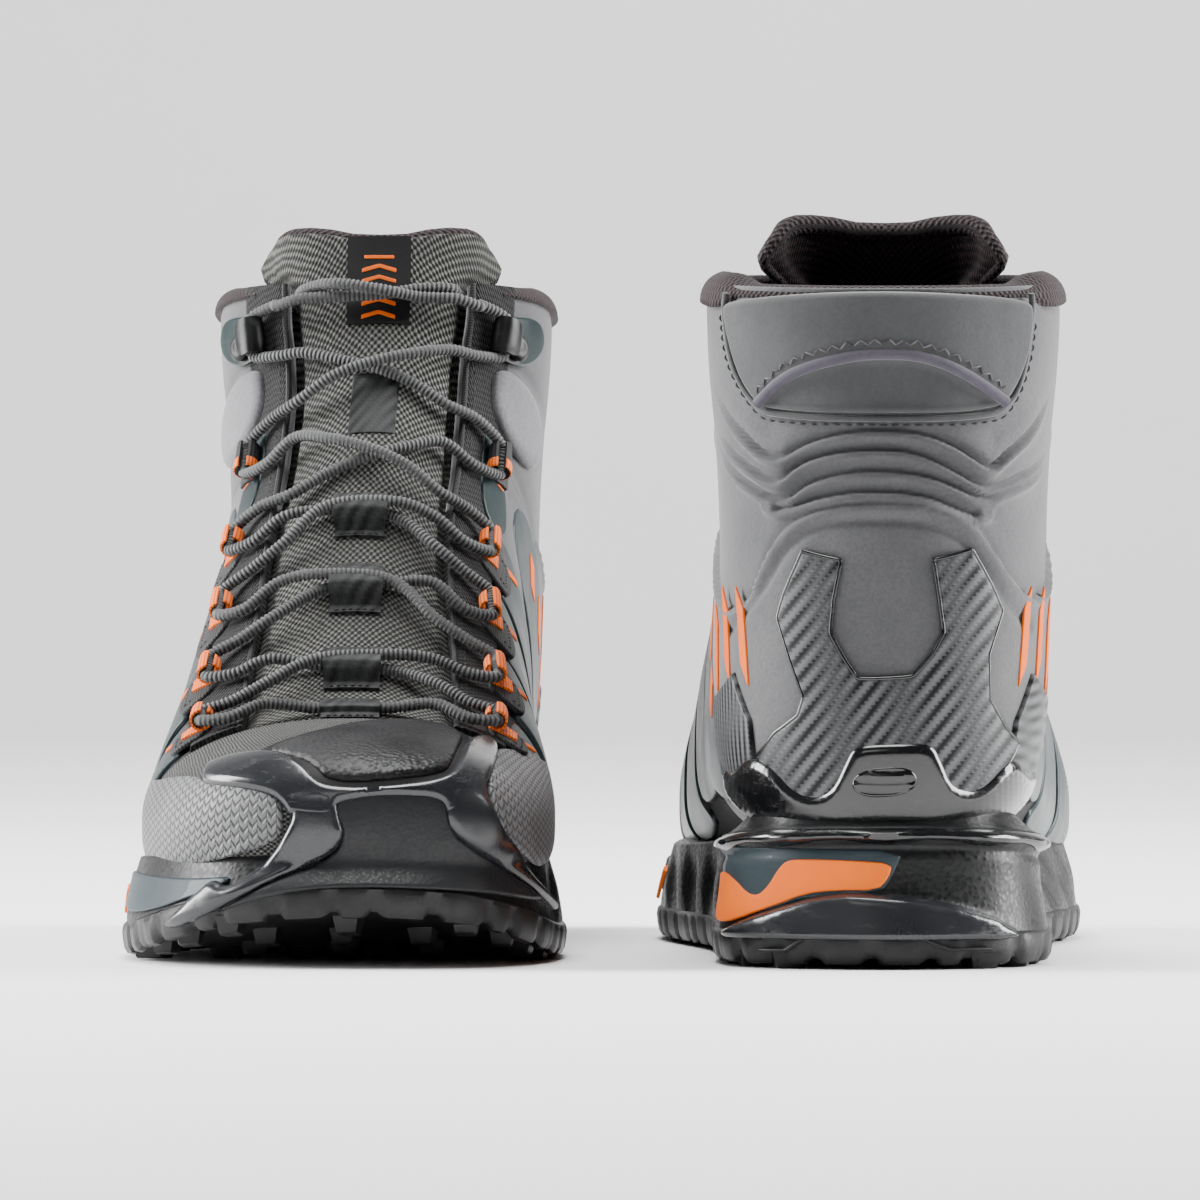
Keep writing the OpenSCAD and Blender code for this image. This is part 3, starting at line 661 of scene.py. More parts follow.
def weave(name, thread, gap_shade, wide, tall, depth=.5, rough=.75, tint=None, contrast=1.):
    """Knitted or woven cloth: staggered round threads wide x tall mm, with painted shade between them."""
    w = Paint(name)
    wobble = w.noise(260, 1)
    p = w.math("MULTIPLY_ADD", wobble, wide * .5, w.p)
    q = w.math("MULTIPLY_ADD", wobble, tall * .5, w.q)
    c = w.math("MULTIPLY", w.wave(p, wide), w.wave(q, tall))
    up = w.grey(c, -.55 * contrast, .75)
    patch = w.noise(30, 3)
    light = w.mix(w.grey(patch, .3, .7), thread, tint or thread)
    # The gaps between the threads take the second colour: painted shade, darkest where the threads' bump is
    # lowest.
    colour = w.mix(up, gap_shade, light)
    fuzz = w.noise(2500, 2)
    normal = w.bump(up, depth, .9, w.bump(fuzz, .08, .5))
    return w.done(colour, w.grey(fuzz, .3, .7, rough - .08, rough + .1), normal, Sheen_Weight=.03,
                  Sheen_Roughness=.5, Specular_IOR_Level=.25)


def nubuck(name, colour, shade, rough=.82):
    w = Paint(name)
    big, fine, nap = w.noise(26, 4, .6), w.noise(420, 3, .6), w.noise(1100, 3, .7)
    base = w.mix(w.grey(big, .35, .68), colour, shade)
    base = w.mix(w.grey(nap, .4, .62, 0, .34), base, (.04, .04, .045, 1))
    normal = w.bump(nap, .12, .7, w.bump(fine, .16, .6))
    return w.done(base, w.grey(fine, .3, .7, rough - .06, rough + .08), normal, Sheen_Weight=.3,
                  Sheen_Roughness=.4, Specular_IOR_Level=.25)


def gloss(name, colour, rough=.22, grain=.05, scale=900, coat=.5, wear=.08, shine=.4):
    """Moulded thermoplastic with a faint grain and duller, scuffed patches."""
    w = Paint(name)
    fine, big, scuff = w.noise(scale, 2), w.noise(35, 4, .6), w.noise(160, 5, .7, stretch=(1, 1, 3))
    edge = w.grey(scuff, .56, .72, 0, 1)
    base = w.mix(w.math("MULTIPLY", edge, wear * 2), colour, (.1, .1, .105, 1))
    r = w.math("ADD", w.grey(big, .3, .7, rough * .7, rough * 1.35), w.math("MULTIPLY", edge, .25))
    return w.done(base, r, w.bump(fine, grain, .5), Coat_Weight=coat, Coat_Roughness=.16,
                  Specular_IOR_Level=shine)


def rubber(name, colour, rough=.44, grain=.12):
    w = Paint(name)
    fine, big, dust = w.noise(1300, 3), w.noise(28, 3), w.noise(90, 5, .65)
    base = w.mix(w.grey(dust, .5, .75, 0, .2), colour, (.06, .058, .056, 1))
    return w.done(base, w.grey(big, .3, .7, rough - .12, rough + .15), w.bump(fine, grain, .6),
                  Specular_IOR_Level=.3)


def foam(name, colour, light, rough=.6, cell=2.2, depth=.35):
    """Moulded foam with a pebbled skin."""
    w = Paint(name)
    pebble = w.cells(1000 / cell)
    big = w.noise(26, 3)
    base = w.mix(w.grey(big, .35, .7), colour, light)
    up = w.grey(pebble, .1, .6, 1, 0)
    return w.done(base, w.grey(up, 0, 1, rough + .12, rough - .1), w.bump(up, depth, .8),
                  Specular_IOR_Level=.26)


def pebbled(name, colour, rough=.44):
    w = Paint(name)
    cell, big = w.cells(760), w.noise(40, 3)
    up = w.grey(cell, .05, .62, 1, 0)
    base = w.mix(w.grey(big, .35, .7, 0, .5), colour, (.03, .03, .032, 1))
    return w.done(base, w.grey(big, .3, .7, rough - .08, rough + .1), w.bump(up, .3, .8), Coat_Weight=.02,
                  Coat_Roughness=.3, Specular_IOR_Level=.22)


def carbon(name, dark, light, rough=.42):
    """Woven-look twill: diagonal bands of small cells, under a clear film."""
    w = Paint(name)
    a = w.math("ADD", w.p, w.math("MULTIPLY", w.q, .35))
    i = w.math("FLOOR", w.math("DIVIDE", a, 1.25))
    j = w.math("FLOOR", w.math("DIVIDE", w.q, .95))
    k = w.math("MODULO", w.math("ADD", w.math("SUBTRACT", i, j), 4000.), 4.)
    band = w.math("LESS_THAN", k, 1.5)
    run = w.math("PINGPONG", w.math("SUBTRACT", w.math("MULTIPLY", w.q, 1.05), a), 1.9)
    soft = w.grey(run, .25, 1.6)
    fibre = w.wave(w.q, .42)
    value = w.math("ADD", w.math("MULTIPLY", band, .38), w.math("MULTIPLY", soft, .55))
    value = w.math("ADD", value, w.math("MULTIPLY", fibre, .05))
    base = w.mix(value, dark, light)
    return w.done(base, w.grey(w.noise(60, 3), .3, .7, rough - .06, rough + .1), w.bump(value, .16, .6),
                  Coat_Weight=.03, Coat_Roughness=.28, Specular_IOR_Level=.18)


def scales(name, light, dark):
    """Rubberised film pressed with rows of small chevron scales; the grooves and the low edge of each scale
    carry painted shade.
    """
    w = Paint(name)
    zig = w.math("PINGPONG", w.math("ADD", w.p, 400.), 1.5)
    col = w.math("FLOOR", w.math("DIVIDE", w.math("ADD", w.p, 400.), 3.0))
    shift = w.math("MULTIPLY", w.math("MODULO", col, 2.), 1.6)
    row = w.math("ADD", w.math("ADD", w.q, shift), w.math("MULTIPLY", zig, 1.15))
    up = w.math("FRACT", w.math("DIVIDE", row, 3.2))
    # groove and the ramp set both the relief and the colour: the grooves between the columns and the low edge
    # of each scale come out dark, which is painted shade.
    groove = w.grey(zig, 0, .22, .25, 1)
    stops = ((0, (0, 0, 0)), (.16, (.9, .9, .9)), (.62, (1, 1, 1)), (.95, (.15,) * 3))
    up = w.math("MULTIPLY", w.ramp(up, *stops), groove)
    big, fine = w.noise(45, 4, .6), w.noise(1400, 2)
    lit = w.mix(w.grey(big, .3, .7), light, tuple(c * .6 for c in light[:3]) + (1,))
    # Raised tops in the light colour, grooves in the dark one: painted shade from the relief's height.
    base = w.mix(up, dark, lit)
    return w.done(base, w.grey(up, 0, 1, .75, .5), w.bump(up, .4, .9, w.bump(fine, .05, .4)))


def film(name, colour, shade, rough=.42, coat=.1):
    """Thin welded film with a fine orange-peel and scuffs."""
    w = Paint(name)
    big, fine = w.noise(38, 4, .6), w.noise(1000, 2)
    base = w.mix(w.grey(big, .35, .7), colour, shade)
    return w.done(base, w.grey(big, .3, .7, rough + .1, rough - .08), w.bump(fine, .08, .5), Coat_Weight=coat,
                  Specular_IOR_Level=.2)


def webbing(name, colour, dark, pitch=.9, rough=.6):
    w = Paint(name)
    rib = w.math("MULTIPLY_ADD", w.wave(w.p, pitch), .5, .5)
    twill = w.math("MULTIPLY_ADD", w.wave(w.q, pitch * .8), .5, .5)
    up = w.math("MULTIPLY_ADD", rib, .7, w.math("MULTIPLY", twill, .3))
    fuzz = w.noise(3000, 2)
    # The valleys between the ribs take the dark colour: painted shade, following the ribs' height.
    base = w.mix(w.grey(up, 0, .8), dark, colour)
    return w.done(base, rough, w.bump(up, .16, .8, w.bump(fuzz, .05, .5)), Sheen_Weight=.03,
                  Specular_IOR_Level=.3)


def braid(name, light, dark):
    """Lace cord: the ribs are modelled, and the threads run slantwise across them. The colour carries a
    painted highlight on the ribs' tops and painted shade in the grooves.
    """
    w = Paint(name)
    slant = w.wave(w.math("MULTIPLY_ADD", w.q, 1.4, w.p), .55)
    rib = w.math("MULTIPLY_ADD", w.wave(w.p, LACE_PITCH), .5, .5)
    patch = w.noise(70, 3)
    # Rib tops in the light colour and the grooves between ribs in the dark one: painted highlight and painted
    # shade along the modelled ribs.
    base = w.mix(w.grey(rib, .1, .8), dark, w.mix(w.grey(patch, .3, .7), light,
                                                  tuple(c * .72 for c in light[:3]) + (1,)))
    # Painted shade along the grooves between the slanting threads.
    base = w.mix(w.grey(slant, .2, 1, 0, .25), base, dark)
    return w.done(base, .72, w.bump(slant, .08, .6), Sheen_Weight=.05)


def board(name, colour, dark):
    w = Paint(name)
    fibre, big = w.noise(500, 4, .7, stretch=(1, 4, 1)), w.noise(60, 2)
    base = w.mix(w.grey(fibre, .35, .65), dark, colour)
    return w.done(base, w.grey(big, .3, .7, .75, .9), w.bump(fibre, .15, .5))


def make_paints():
    def g(red, green, blue, k=.55):
        """A colour darkened to k, to suit the studio's light."""
        return tuple(c * k for c in srgb(red, green, blue)[:3]) + (1,)

    return {
        # Each weave's second colour is painted shade for the gaps between its threads.
        "tongue": weave("TongueMesh", g(150, 150, 144, .56), g(10, 10, 10), 1.85, 2.4, .6,
                        tint=g(108, 108, 103, .56), contrast=.8),
        "mesh": weave("DarkMesh", g(52, 53, 53), g(5, 5, 5), 1.7, 1.9, .5, tint=g(38, 38, 39)),
        "rib": weave("RibbedMesh", g(146, 146, 142), g(18, 18, 18), 2.3, 1.7, .6, tint=g(116, 116, 113)),
        "lining": weave("CollarKnit", g(64, 42, 46), g(6, 4, 5), 1.9, 2.3, .6, tint=g(58, 30, 37)),
        "bootie": weave("BootieCloth", g(46, 42, 44), g(10, 9, 10), 1.2, 1.2, .2),
        "shell": nubuck("GreyNubuck", g(156, 156, 158, .28), g(140, 140, 144, .25)),
        "panelgrey": nubuck("PaleNubuck", g(186, 186, 190, .33), g(170, 170, 176, .32)),
        "flap": nubuck("FlapNubuck", g(130, 131, 132, .28), g(112, 113, 114, .26), .88),
        "arch": nubuck("LavenderPiping", g(122, 115, 132, .38), g(104, 98, 112, .36), .85),
        "tpu": gloss("GlossTPU", g(15, 16, 18), .2),
        "bumper": gloss("BumperTPU", g(38, 40, 44), .26, coat=.4),
        "frontpanel": foam("ToeRubber", g(42, 43, 45), g(34, 35, 37), .44, .9, .05),
        "toeplate": pebbled("PebbledToe", g(15, 16, 18)),
        # The scale rand's second colour is painted shade for its grooves.
        "scales": scales("ScaleRand", g(150, 151, 152), g(40, 40, 42)),
        "carbon": carbon("CarbonFilm", g(8, 9, 10), g(118, 120, 122)),
        "keeper": carbon("KeeperFilm", g(10, 11, 11), g(62, 64, 64), .6),
        "teal": film("TealFilm", g(42, 60, 64, .42), g(56, 70, 73, .42)),
        "brightteal": film("BrightTeal", g(18, 66, 68, .22), g(14, 54, 58, .22)),
        "tealfoam": film("TealInlay", g(62, 76, 82), g(54, 68, 74), .5),
        "orange": film("OrangeInk", g(255, 112, 0, .66), g(240, 102, 0, .64), .6, 0),
        "orangefoam": film("OrangeFoam", g(255, 118, 0, .85), g(252, 110, 0, .82), .6, 0),
        # Each webbing's and thread's second colour is painted shade for the valleys between its ribs.
        "orangeweb": webbing("OrangeWebbing", g(255, 118, 0, .85), g(190, 66, 0, .6)),
        "blackweb": webbing("BlackWebbing", g(34, 34, 36), g(8, 8, 9)),
        "thread": webbing("Thread", g(50, 50, 52), g(16, 16, 18), .5),
        "palethread": webbing("PaleThread", g(120, 117, 124), g(60, 58, 62), .5),
        "label": film("LabelFilm", g(18, 18, 19), g(14, 14, 15), .6, 0),
        "foam": foam("MidsoleFoam", g(14, 15, 17), g(22, 23, 25), .38, 1.2, .05),
        "rubber": rubber("OutsoleRubber", g(22, 22, 24)),
        # The lace's first colour is lighter on the rib tops as painted highlight; its second is the painted
        # shade between ribs.
        "lace": braid("LaceCord", g(128, 129, 129, .6), g(24, 25, 26, .6)),
        "aglet": gloss("AgletPlastic", g(40, 40, 42), .3),
        "hook": gloss("HookMetal", g(12, 13, 15), .4, coat=0, shine=.2),
        "board": board("FibreBoard", g(180, 170, 150), g(140, 130, 112)),
        "plastic": gloss("ShankPlastic", g(40, 40, 42), .5, coat=0),
        # The binding's second colour is painted shade for the valleys between its ribs.
        "binding": webbing("TongueBinding", g(26, 23, 24), g(10, 9, 10), .8),
    }


PAINTS = make_paints()


# ---------------------------------------------------------------- upper, lining and tongue
def at(k):
    """The same offset everywhere."""
    return lambda u, v: np.full(np.shape(u), float(k))


def step(x, a, b):
    """A smooth rise from 0 at a to 1 at b."""
    t = np.clip((x - a) / (b - a), 0, 1)
    return t * t * (3 - 2 * t)


def gauss(d, w):
    """A bump of height 1 and half width w."""
    return np.exp(-(d / w) ** 2)


REAR = SkinChart(15.5, 180)
# Lines pressed into the shell round the ankle: row, column.
FOLDS = [
    [(16.4, 282), (16.1, 262), (15.77, 234), (15.43, 215), (15.78, 203.6), (15.97, 191), (16.03, 181),
     (15.98, 172), (15.8, 161.4), (15.5, 151), (15.36, 146), (15.53, 138.9), (15.68, 125), (16.05, 105),
     (16.4, 84)],
    [(15.34, 276), (15.34, 254), (15.3, 234), (15.16, 213.9), (15.51, 205.7), (15.72, 193.5), (15.79, 181),
     (15.72, 171.7), (15.48, 161), (15.12, 147.4), (15.13, 133), (14.98, 105), (15.1, 84)],
    [(15.06, 262), (15.06, 250), (15.03, 231.6), (14.97, 212), (15.31, 202), (15.5, 187.6), (15.51, 178.5),
     (15.41, 167.8), (15.26, 160), (15.02, 149.4), (15.04, 135.4), (14.85, 108)],
    [(14.88, 214), (15.0, 206), (15.13, 198.8), (15.25, 187.6), (15.26, 178.5), (15.17, 167.7), (14.99, 159),
     (14.86, 152)],
]
# The upper edges of the moulded heel piece and of the dome pressed into it.
SADDLE = [(12.3, 287), (12.62, 276), (12.86, 262), (13.0, 254), (13.37, 239), (13.72, 228), (14.15, 222),
          (14.54, 214.7), (14.87, 204), (15.04, 192), (15.09, 181), (15.04, 168), (14.89, 159), (14.64, 150),
          (14.28, 142), (13.95, 135), (13.54, 123), (13.3, 112), (12.9, 98), (12.6, 86), (12.2, 74)]
DOME = [(13.05, 243), (13.32, 237), (13.7, 227), (14.03, 219), (14.42, 211.8), (14.7, 203), (14.86, 194),
        (14.92, 181), (14.86, 169), (14.68, 160), (14.42, 152.5), (14.08, 144.5), (13.75, 137), (13.23, 122)]


def rear_line(line):
    """A smoothed line of (u, v), flat in the rear chart."""
    return REAR.flat(soften(line, 2, False))


def fold_relief(pts):
    """Pressed lines with a soft roll above each, fading towards the sides, on a padded body."""
    h, body = np.zeros(len(pts)), np.zeros(len(pts))
    middle = REAR.flat([(15.4, 181)])[0, 0]
    fade = step(-np.abs(pts[:, 0] - middle), -66, -36)
    for i, fold in enumerate(FOLDS):
        line = rear_line(fold)
        d, _ = from_line(pts, line)
        rising = line if line[0, 0] < line[-1, 0] else line[::-1]
        above = pts[:, 1] - np.interp(pts[:, 0], rising[:, 0], rising[:, 1])
        deep = (2.1 if i < 2 else 1.9) * fade
        h -= 1.15 * deep * gauss(d, .8)
        h += .7 * deep * gauss(above + 1.9, 1.2) * (d < 6)
        h -= .25 * deep * gauss(above - 2.2, 1.5) * (d < 6)
        body = np.maximum(body, gauss(d, 7) * fade)
    return h + 1.7 * body


def ankle_relief(u, v):
    """How far the moulded ankle shell stands off the skin behind."""
    pts = REAR.flat(np.stack([u.ravel(), v.ravel()], 1))
    h = fold_relief(pts)
    saddle = rear_line(SADDLE)
    d, _ = from_line(pts, saddle)
    y = np.interp(pts[:, 0], saddle[::-1, 0], saddle[::-1, 1])
    below = step(y - pts[:, 1], -1., .9)
    h += 1.3 * below - .9 * gauss(d, 1.) * (1 - below) + .9 * gauss(d, 1.8) * below
    d, _ = from_line(pts, rear_line(DOME))
    h -= gauss(d, 1.)
    return h.reshape(u.shape)


def ankle_shell():
    us = np.concatenate([spread(10.0, 12.2, .09), spread(12.24, 17.9, .043), [17.95, 18.0]])
    vs = spread(30, 330, 1.1)
    u, v = np.meshgrid(us, vs, indexing="ij")
    h = ankle_relief(u, v)
    low = np.interp(us, [10, 10.6], [0, 1])[:, None]
    front = step(np.minimum(v - 30, 330 - v), 18, 34)
    h = h * low * front
    # soft padding round the ankle bones, and the panels beside the tongue
    for c in (62, 298):
        h += 1.3 * gauss((u - 13.7) / .95, 1) * gauss((v - c) / 15., 1)
        h += 1.1 * gauss((u - 16.9) / .8, 1) * gauss((v - c) / 16., 1)
        h -= .8 * gauss((u - 15.15) / .16, 1) * gauss((v - c) / 20., 1)
        h -= .5 * gauss((u - 12.55) / .12, 1) * gauss((v - c) / 20., 1)
    top = np.interp(us, [17.3, 17.7, 18], [0, -.4, -1])[:, None]
    outer = skin(u, v, h * (1 + top * .8) + 1.3 * top)
    inner = skin(u, v, np.full(u.shape, -2.))
    shape = slab(outer, inner, skin_uv(u, v))
    build("ankle_shell", shape, PAINTS["shell"], ["ankle_shell"], sharp=None)


# The faces of the mesh under the overlays.
CLOTH = at(-.05), at(-1.95)


def base_cloth():
    u, v = np.meshgrid(spread(.02, 5.02, .11), spread(-140, 140, 2.5), indexing="ij")
    vamp = slab(skin(u, v, CLOTH[0](u, v)), skin(u, v, CLOTH[1](u, v)), FrontChart.project(oval(u, v)))
    build("vamp", vamp, PAINTS["rib"], ["vamp"])
    quarter = shell(spread(5.03, 9.98, .1), spread(30, 140, 2.5), *CLOTH)
    quarter.join(shell(spread(5.03, 9.98, .1), spread(-140, -30, 2.5), *CLOTH))
    build("quarters", quarter, PAINTS["mesh"], ["quarters"])


def gusset_face(u, v):
    """The stretch cloth beside the tongue, with a shallow wave."""
    return -3.7 - .3 * (1 + np.cos(v * .9)) * .5


def lining():
    inner, outer = -3.5, -2.32
    toe = shell(spread(.3, 5, .25), spread(-170, 170, 5), at(inner + .12), at(outer - 1.3))
    rest = shell(spread(5.05, 14.0, .2), spread(35, 325, 4), at(outer), at(inner))
    build("bootie_lining", toe.join(rest), PAINTS["bootie"], ["bootie_lining"])
    sole = shell(spread(2, 11, .25), spread(150, 210, 4), at(-3.7), at(-7.6))
    build("footbed", sole, PAINTS["bootie"], ["footbed"])
    web = shell(spread(6, 9, .15), spread(50, 70, 2), gusset_face, at(-4.3))
    web.join(shell(spread(6, 9, .15), spread(-70, -50, 2), gusset_face, at(-4.3)))
    build("tongue_gusset", web, PAINTS["bootie"], ["tongue_gusset"])


def beside(v):
    """The column's angle from the middle of the front."""
    return np.abs(np.where(v > 180, v - 360, v))


def swell(v):
    """0 beside the tongue and 1 round the ankle, where the collar's foam is full."""
    return step(beside(v), 50, 85)


def collar_rows(vs):
    """The collar roll's section, as rows of (u, offset): up inside, over the edge and down outside."""
    full = swell(vs)
    inner = -3.5 - .8 - 5.0 * full - .7
    flat = np.ones(len(vs))
    rows = [(u * flat, inner * np.clip((u - 13.9) / .5, .35, 1)) for u in spread(14.1, 17.75, .12)]
    side_on = np.where(beside(vs) < 122, 1., 0.)
    for _ in range(6):
        side_on[1:-1] = (side_on[:-2] + 2 * side_on[1:-1] + side_on[2:]) / 4
    outer = -.5 + 2.3 * side_on
    middle, radius = (inner + outer) / 2, (outer - inner) / 2
    for a in np.linspace(180, 0, 15):
        c, s = np.cos(np.radians(a)), np.sin(np.radians(a))
        u = 17.8 - .28 * side_on * (a < 90) * c + (.22 + .3 * side_on) * s * (.6 + .5 * full)
        rows.append((u, middle + radius * c))
    rows += [(u * flat, off * flat) for u, off in
             ((17.55, -2.1), (17.3, -2.15), (16.2, -2.2), (15.1, -2.2), (14.1, -2.2))]
    return (np.array(k) for k in zip(*rows))


def collar():
    """Padded lining that rolls over the collar's edge, one closed form from inside to outside."""
    vs = spread(43, 317, 2.5)
    u, off = collar_rows(vs)
    pts = skin(u, np.broadcast_to(vs, u.shape), off)[:, ::-1]
    n, c = pts.shape[:2]
    round_it = np.interp(vs, TABLE_COLUMNS, ACROSS[160])[::-1]
    tex = np.stack(np.broadcast_arrays(round_it[None], run(pts[:, c // 2])[:, None]), -1)
    shape = Shape().add(np.concatenate([pts, pts[:1]]), quads(n + 1, c), np.concatenate([tex, tex[:1]]))
    k = np.arange(1, n - 1)
    for loop in ((np.arange(n) * c)[::-1], np.arange(n) * c + c - 1):
        shape.f.append(np.stack([loop[0] + 0 * k, loop[k], loop[k + 1]], -1))
        shape.m.append(np.zeros(n - 2, int))
    for o in build("collar_roll", shape, PAINTS["lining"], ["collar_foam", "collar_lining"],
                   sharp=None):
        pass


# The tongue's half width in degrees, two rows near its fold that tongue() reads but puts to no use, and its
# top edge as (v, row).
HALF_TONGUE = 42
FOLD_ROWS = 9.3, 11.2
TOP_EDGE = [(0, 20.55), (6, 20.6), (12, 20.85), (18, 20.95), (23, 20.9), (28, 20.6), (33, 20.0), (38, 19.1),
            (HALF_TONGUE, 17.8)]


def tongue_top_row(v):
    """The row at which the tongue ends."""
    return np.interp(np.abs(v), *zip(*TOP_EDGE))


def tongue_front(u, v):
    """The offset of the tongue's face: raised in the middle, with wings that lie deeper."""
    a = np.abs(v)
    deep = np.interp(u, [5, 9.8, 10.8, 11.6, 12.4, 17.6, 18.6, 21], [3.2, 3.2, 4.2, 5.6, 6.3, 6.3, 2.6, 1.6])
    rib = .35 * gauss((a - 17) / 6, 1) * step(u, 15, 18)
    return -1.4 - deep * step(a, 24.5, 33) + rib


def fan(u, v):
    """Widens the tongue above the collar."""
    return v * (1 + .34 * step(u, 17.8, 19.2))


def tongue():
    low = 5.3
    vs = spread(-HALF_TONGUE, HALF_TONGUE, 1.5)
    t = np.linspace(0, 1, 150)[:, None]
    top = tongue_top_row(vs)[None, :]
    v = np.broadcast_to(vs, (len(t), len(vs)))
    u = low + (top - low) * t
    thick = np.interp(np.abs(v), [0, 30, 36, HALF_TONGUE], [5, 4.6, 3.4, 1.6])
    thick = thick * np.interp(u, [low, 9, 15, 21], [.85, .95, 1, 1.0])
    rim_in = np.minimum((top - u) * 17, 4.) / 4
    half = thick / 2 * (.45 + .55 * np.sqrt(np.clip(1 - (1 - np.clip(rim_in, 0, 1)) ** 2, 0, 1)))
    middle = tongue_front(u, v) - thick / 2
    w = fan(u, v)
    shape = slab(skin(u, w, middle + half), skin(u, w, middle - half), skin_uv(u, w))
    shape.m[1][:] = 1
    for o in build("tongue", shape, [PAINTS["tongue"], PAINTS["lining"]], ["tongue_lower", "tongue_upper"],
                   ride=False, sharp=None):
        side = o.name.split("_")[0]
        start, end = (place(side, oval(row, 0) - [0, 0, 2]) for row in FOLD_ROWS)
        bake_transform(o)


def tongue_binding():
    vs = spread(-HALF_TONGUE, HALF_TONGUE, 1.)
    top = tongue_top_row(vs)
    fat = np.interp(np.abs(vs), [0, 26, 34, HALF_TONGUE], [2.7, 2.7, 2.1, 1.1])
    edge = skin(top - .1, fan(top, vs), tongue_front(top, vs) - fat - 1.1)
    build("tongue_binding", tube(edge, fat, 14), PAINTS["lining"], body="tongue_top")


def mark(u, v0, kind, chart, off=-.78):
    """Plain geometric marks for the label: a bar, or a chevron of two bars."""
    w = .09
    if kind == "bar":
        line = [(u - w, v0 - 3.6), (u - w, v0 + 3.6), (u + w, v0 + 3.6), (u + w, v0 - 3.6)]
    else:
        line = [(u - .1, v0 - 4.2), (u + .16, v0), (u - .1, v0 + 4.2), (u + .12, v0 + 4.2), (u + .38, v0),
                (u + .12, v0 - 4.2)]
    return panel(chart, line, height=.14, radius=.12, base=-.1, spacing=2, edge=.5, floor=off, smooth=0)


def tongue_trim():
    chart = SkinChart(18, 0)
    label = shell(spread(15.7, 20.6, .12), spread(-8.6, 8.6, 1.5), at(-.78), at(-1.38))
    build("tongue_label", label, PAINTS["label"], ["tongue_label"], body="tongue_top")
    marks = Shape()
    for i, u in enumerate((16.05, 16.75, 17.35, 18.1, 18.7, 19.45)):
        marks.join(mark(u, 0, "bar" if i in (2, 5) else "chevron", chart))
    build("label_marks", marks, PAINTS["orange"], body="tongue_top")
    square = [(11.35, -6.8), (11.35, 6.8), (13.3, 6.8), (13.3, -6.8)]
    patch = panel(SkinChart(12.4, 0), square, height=.3, radius=.5, base=-.2, floor=-1.38, smooth=0)
    build("tongue_patch", patch, PAINTS["keeper"], body="tongue_top")


KEEPERS = [5.5, 6.6, 8.1, 9.45]


def keepers():
    shape = Shape()
    for i, u in enumerate(KEEPERS):
        high = 4.15 if i else 1.25
        half, foot = (.30, .42) if i else (.2, .34)
        k = np.array([-foot, -half, -half * .8, -half * .45, 0, half * .45, half * .8, half, foot])
        h = np.array([-1.2, -.9, high * .55, high * .93, high, high * .93, high * .55, -.9, -1.2])
        t = np.linspace(0, 1, 41)
        rows, off = np.interp(t, np.linspace(0, 1, 9), k), np.interp(t, np.linspace(0, 1, 9), h)
        for _ in range(2):
            off[1:-1] = (off[:-2] + 2 * off[1:-1] + off[2:]) / 4
        vs = spread(-7, 7, 1.)
        uu, vv = np.meshgrid(u + rows, vs, indexing="ij")
        o = np.broadcast_to(off[:, None], uu.shape)
        shape.join(slab(skin(uu, vv, o + .85), skin(uu, vv, o), skin_uv(uu, vv)))
        for end in (-1, 1):
            line = [(u + end * (foot - .03), -6), (u + end * (foot - .03), 6)]
            shape.join(stitches(line, pitch=1.9, length=1.3, width=.22, off=-.25, m=1))
    build("lace_keepers", shape, [PAINTS["keeper"], PAINTS["thread"]], ["lace_keepers"])


# ---------------------------------------------------------------- lacing
# Rows of the four webbing loops, of the ankle loop and of the hook, and the columns they stand at.
LOOPS, ANKLE, HOOK = [5.55, 7.05, 8.35, 9.65], 11.75, 15.6
LOOP_V, HOOK_V = 42, 41
# Offsets from the skin: the eyestay's face, a loop's middle, the hook's foot, and the lace's middle line
# beside the loops, in its lower and upper crossings over the tongue, and in the hook.
STAY, LACE_R, LOOP_RADIUS = 1.55, 1.6, 2.3
LOOP_OFF = STAY + .45 + .8 + LACE_R + .7
HOOK_OFF = STAY + .1
STRAND, LOW, HIGH = STAY + LACE_R + .5, .6, 4.05
HOOK_LACE = HOOK_OFF + 1.2 + .25 + LACE_R


def turn(u, v, du, off, up):
    """The lace's way through a loop or round a hook."""
    s = 1 if v > 0 else -1
    far = max(STRAND, off - 1.5)
    return [(u - up * du * 1.5, v - s * 9, far), (u - up * du, v, off), (u, v + s * .4, off),
            (u + up * du, v, off), (u + up * du * 1.5, v - s * 9, far)]


def across(u0, u1, s, off):
    """The lace's way over the tongue, from side s to the other."""
    return [(u0, s * 22, (STRAND + off) / 2), (u0 * .75 + u1 * .25, s * 11, off), ((u0 + u1) / 2, 0, off),
            (u0 * .25 + u1 * .75, -s * 11, off), (u1, -s * 22, (STRAND + off) / 2)]


# Where the lace's free run starts, crosses and ends between the webbing loops, for loops 3, 2 and 1.
CROSSINGS = ((3, (9.45, 9.5, 9.4, 8.9)), (2, (8.2, 8.15, 8.05, 7.6)), (1, (6.75, 6.65, 6.55, 6.2)))


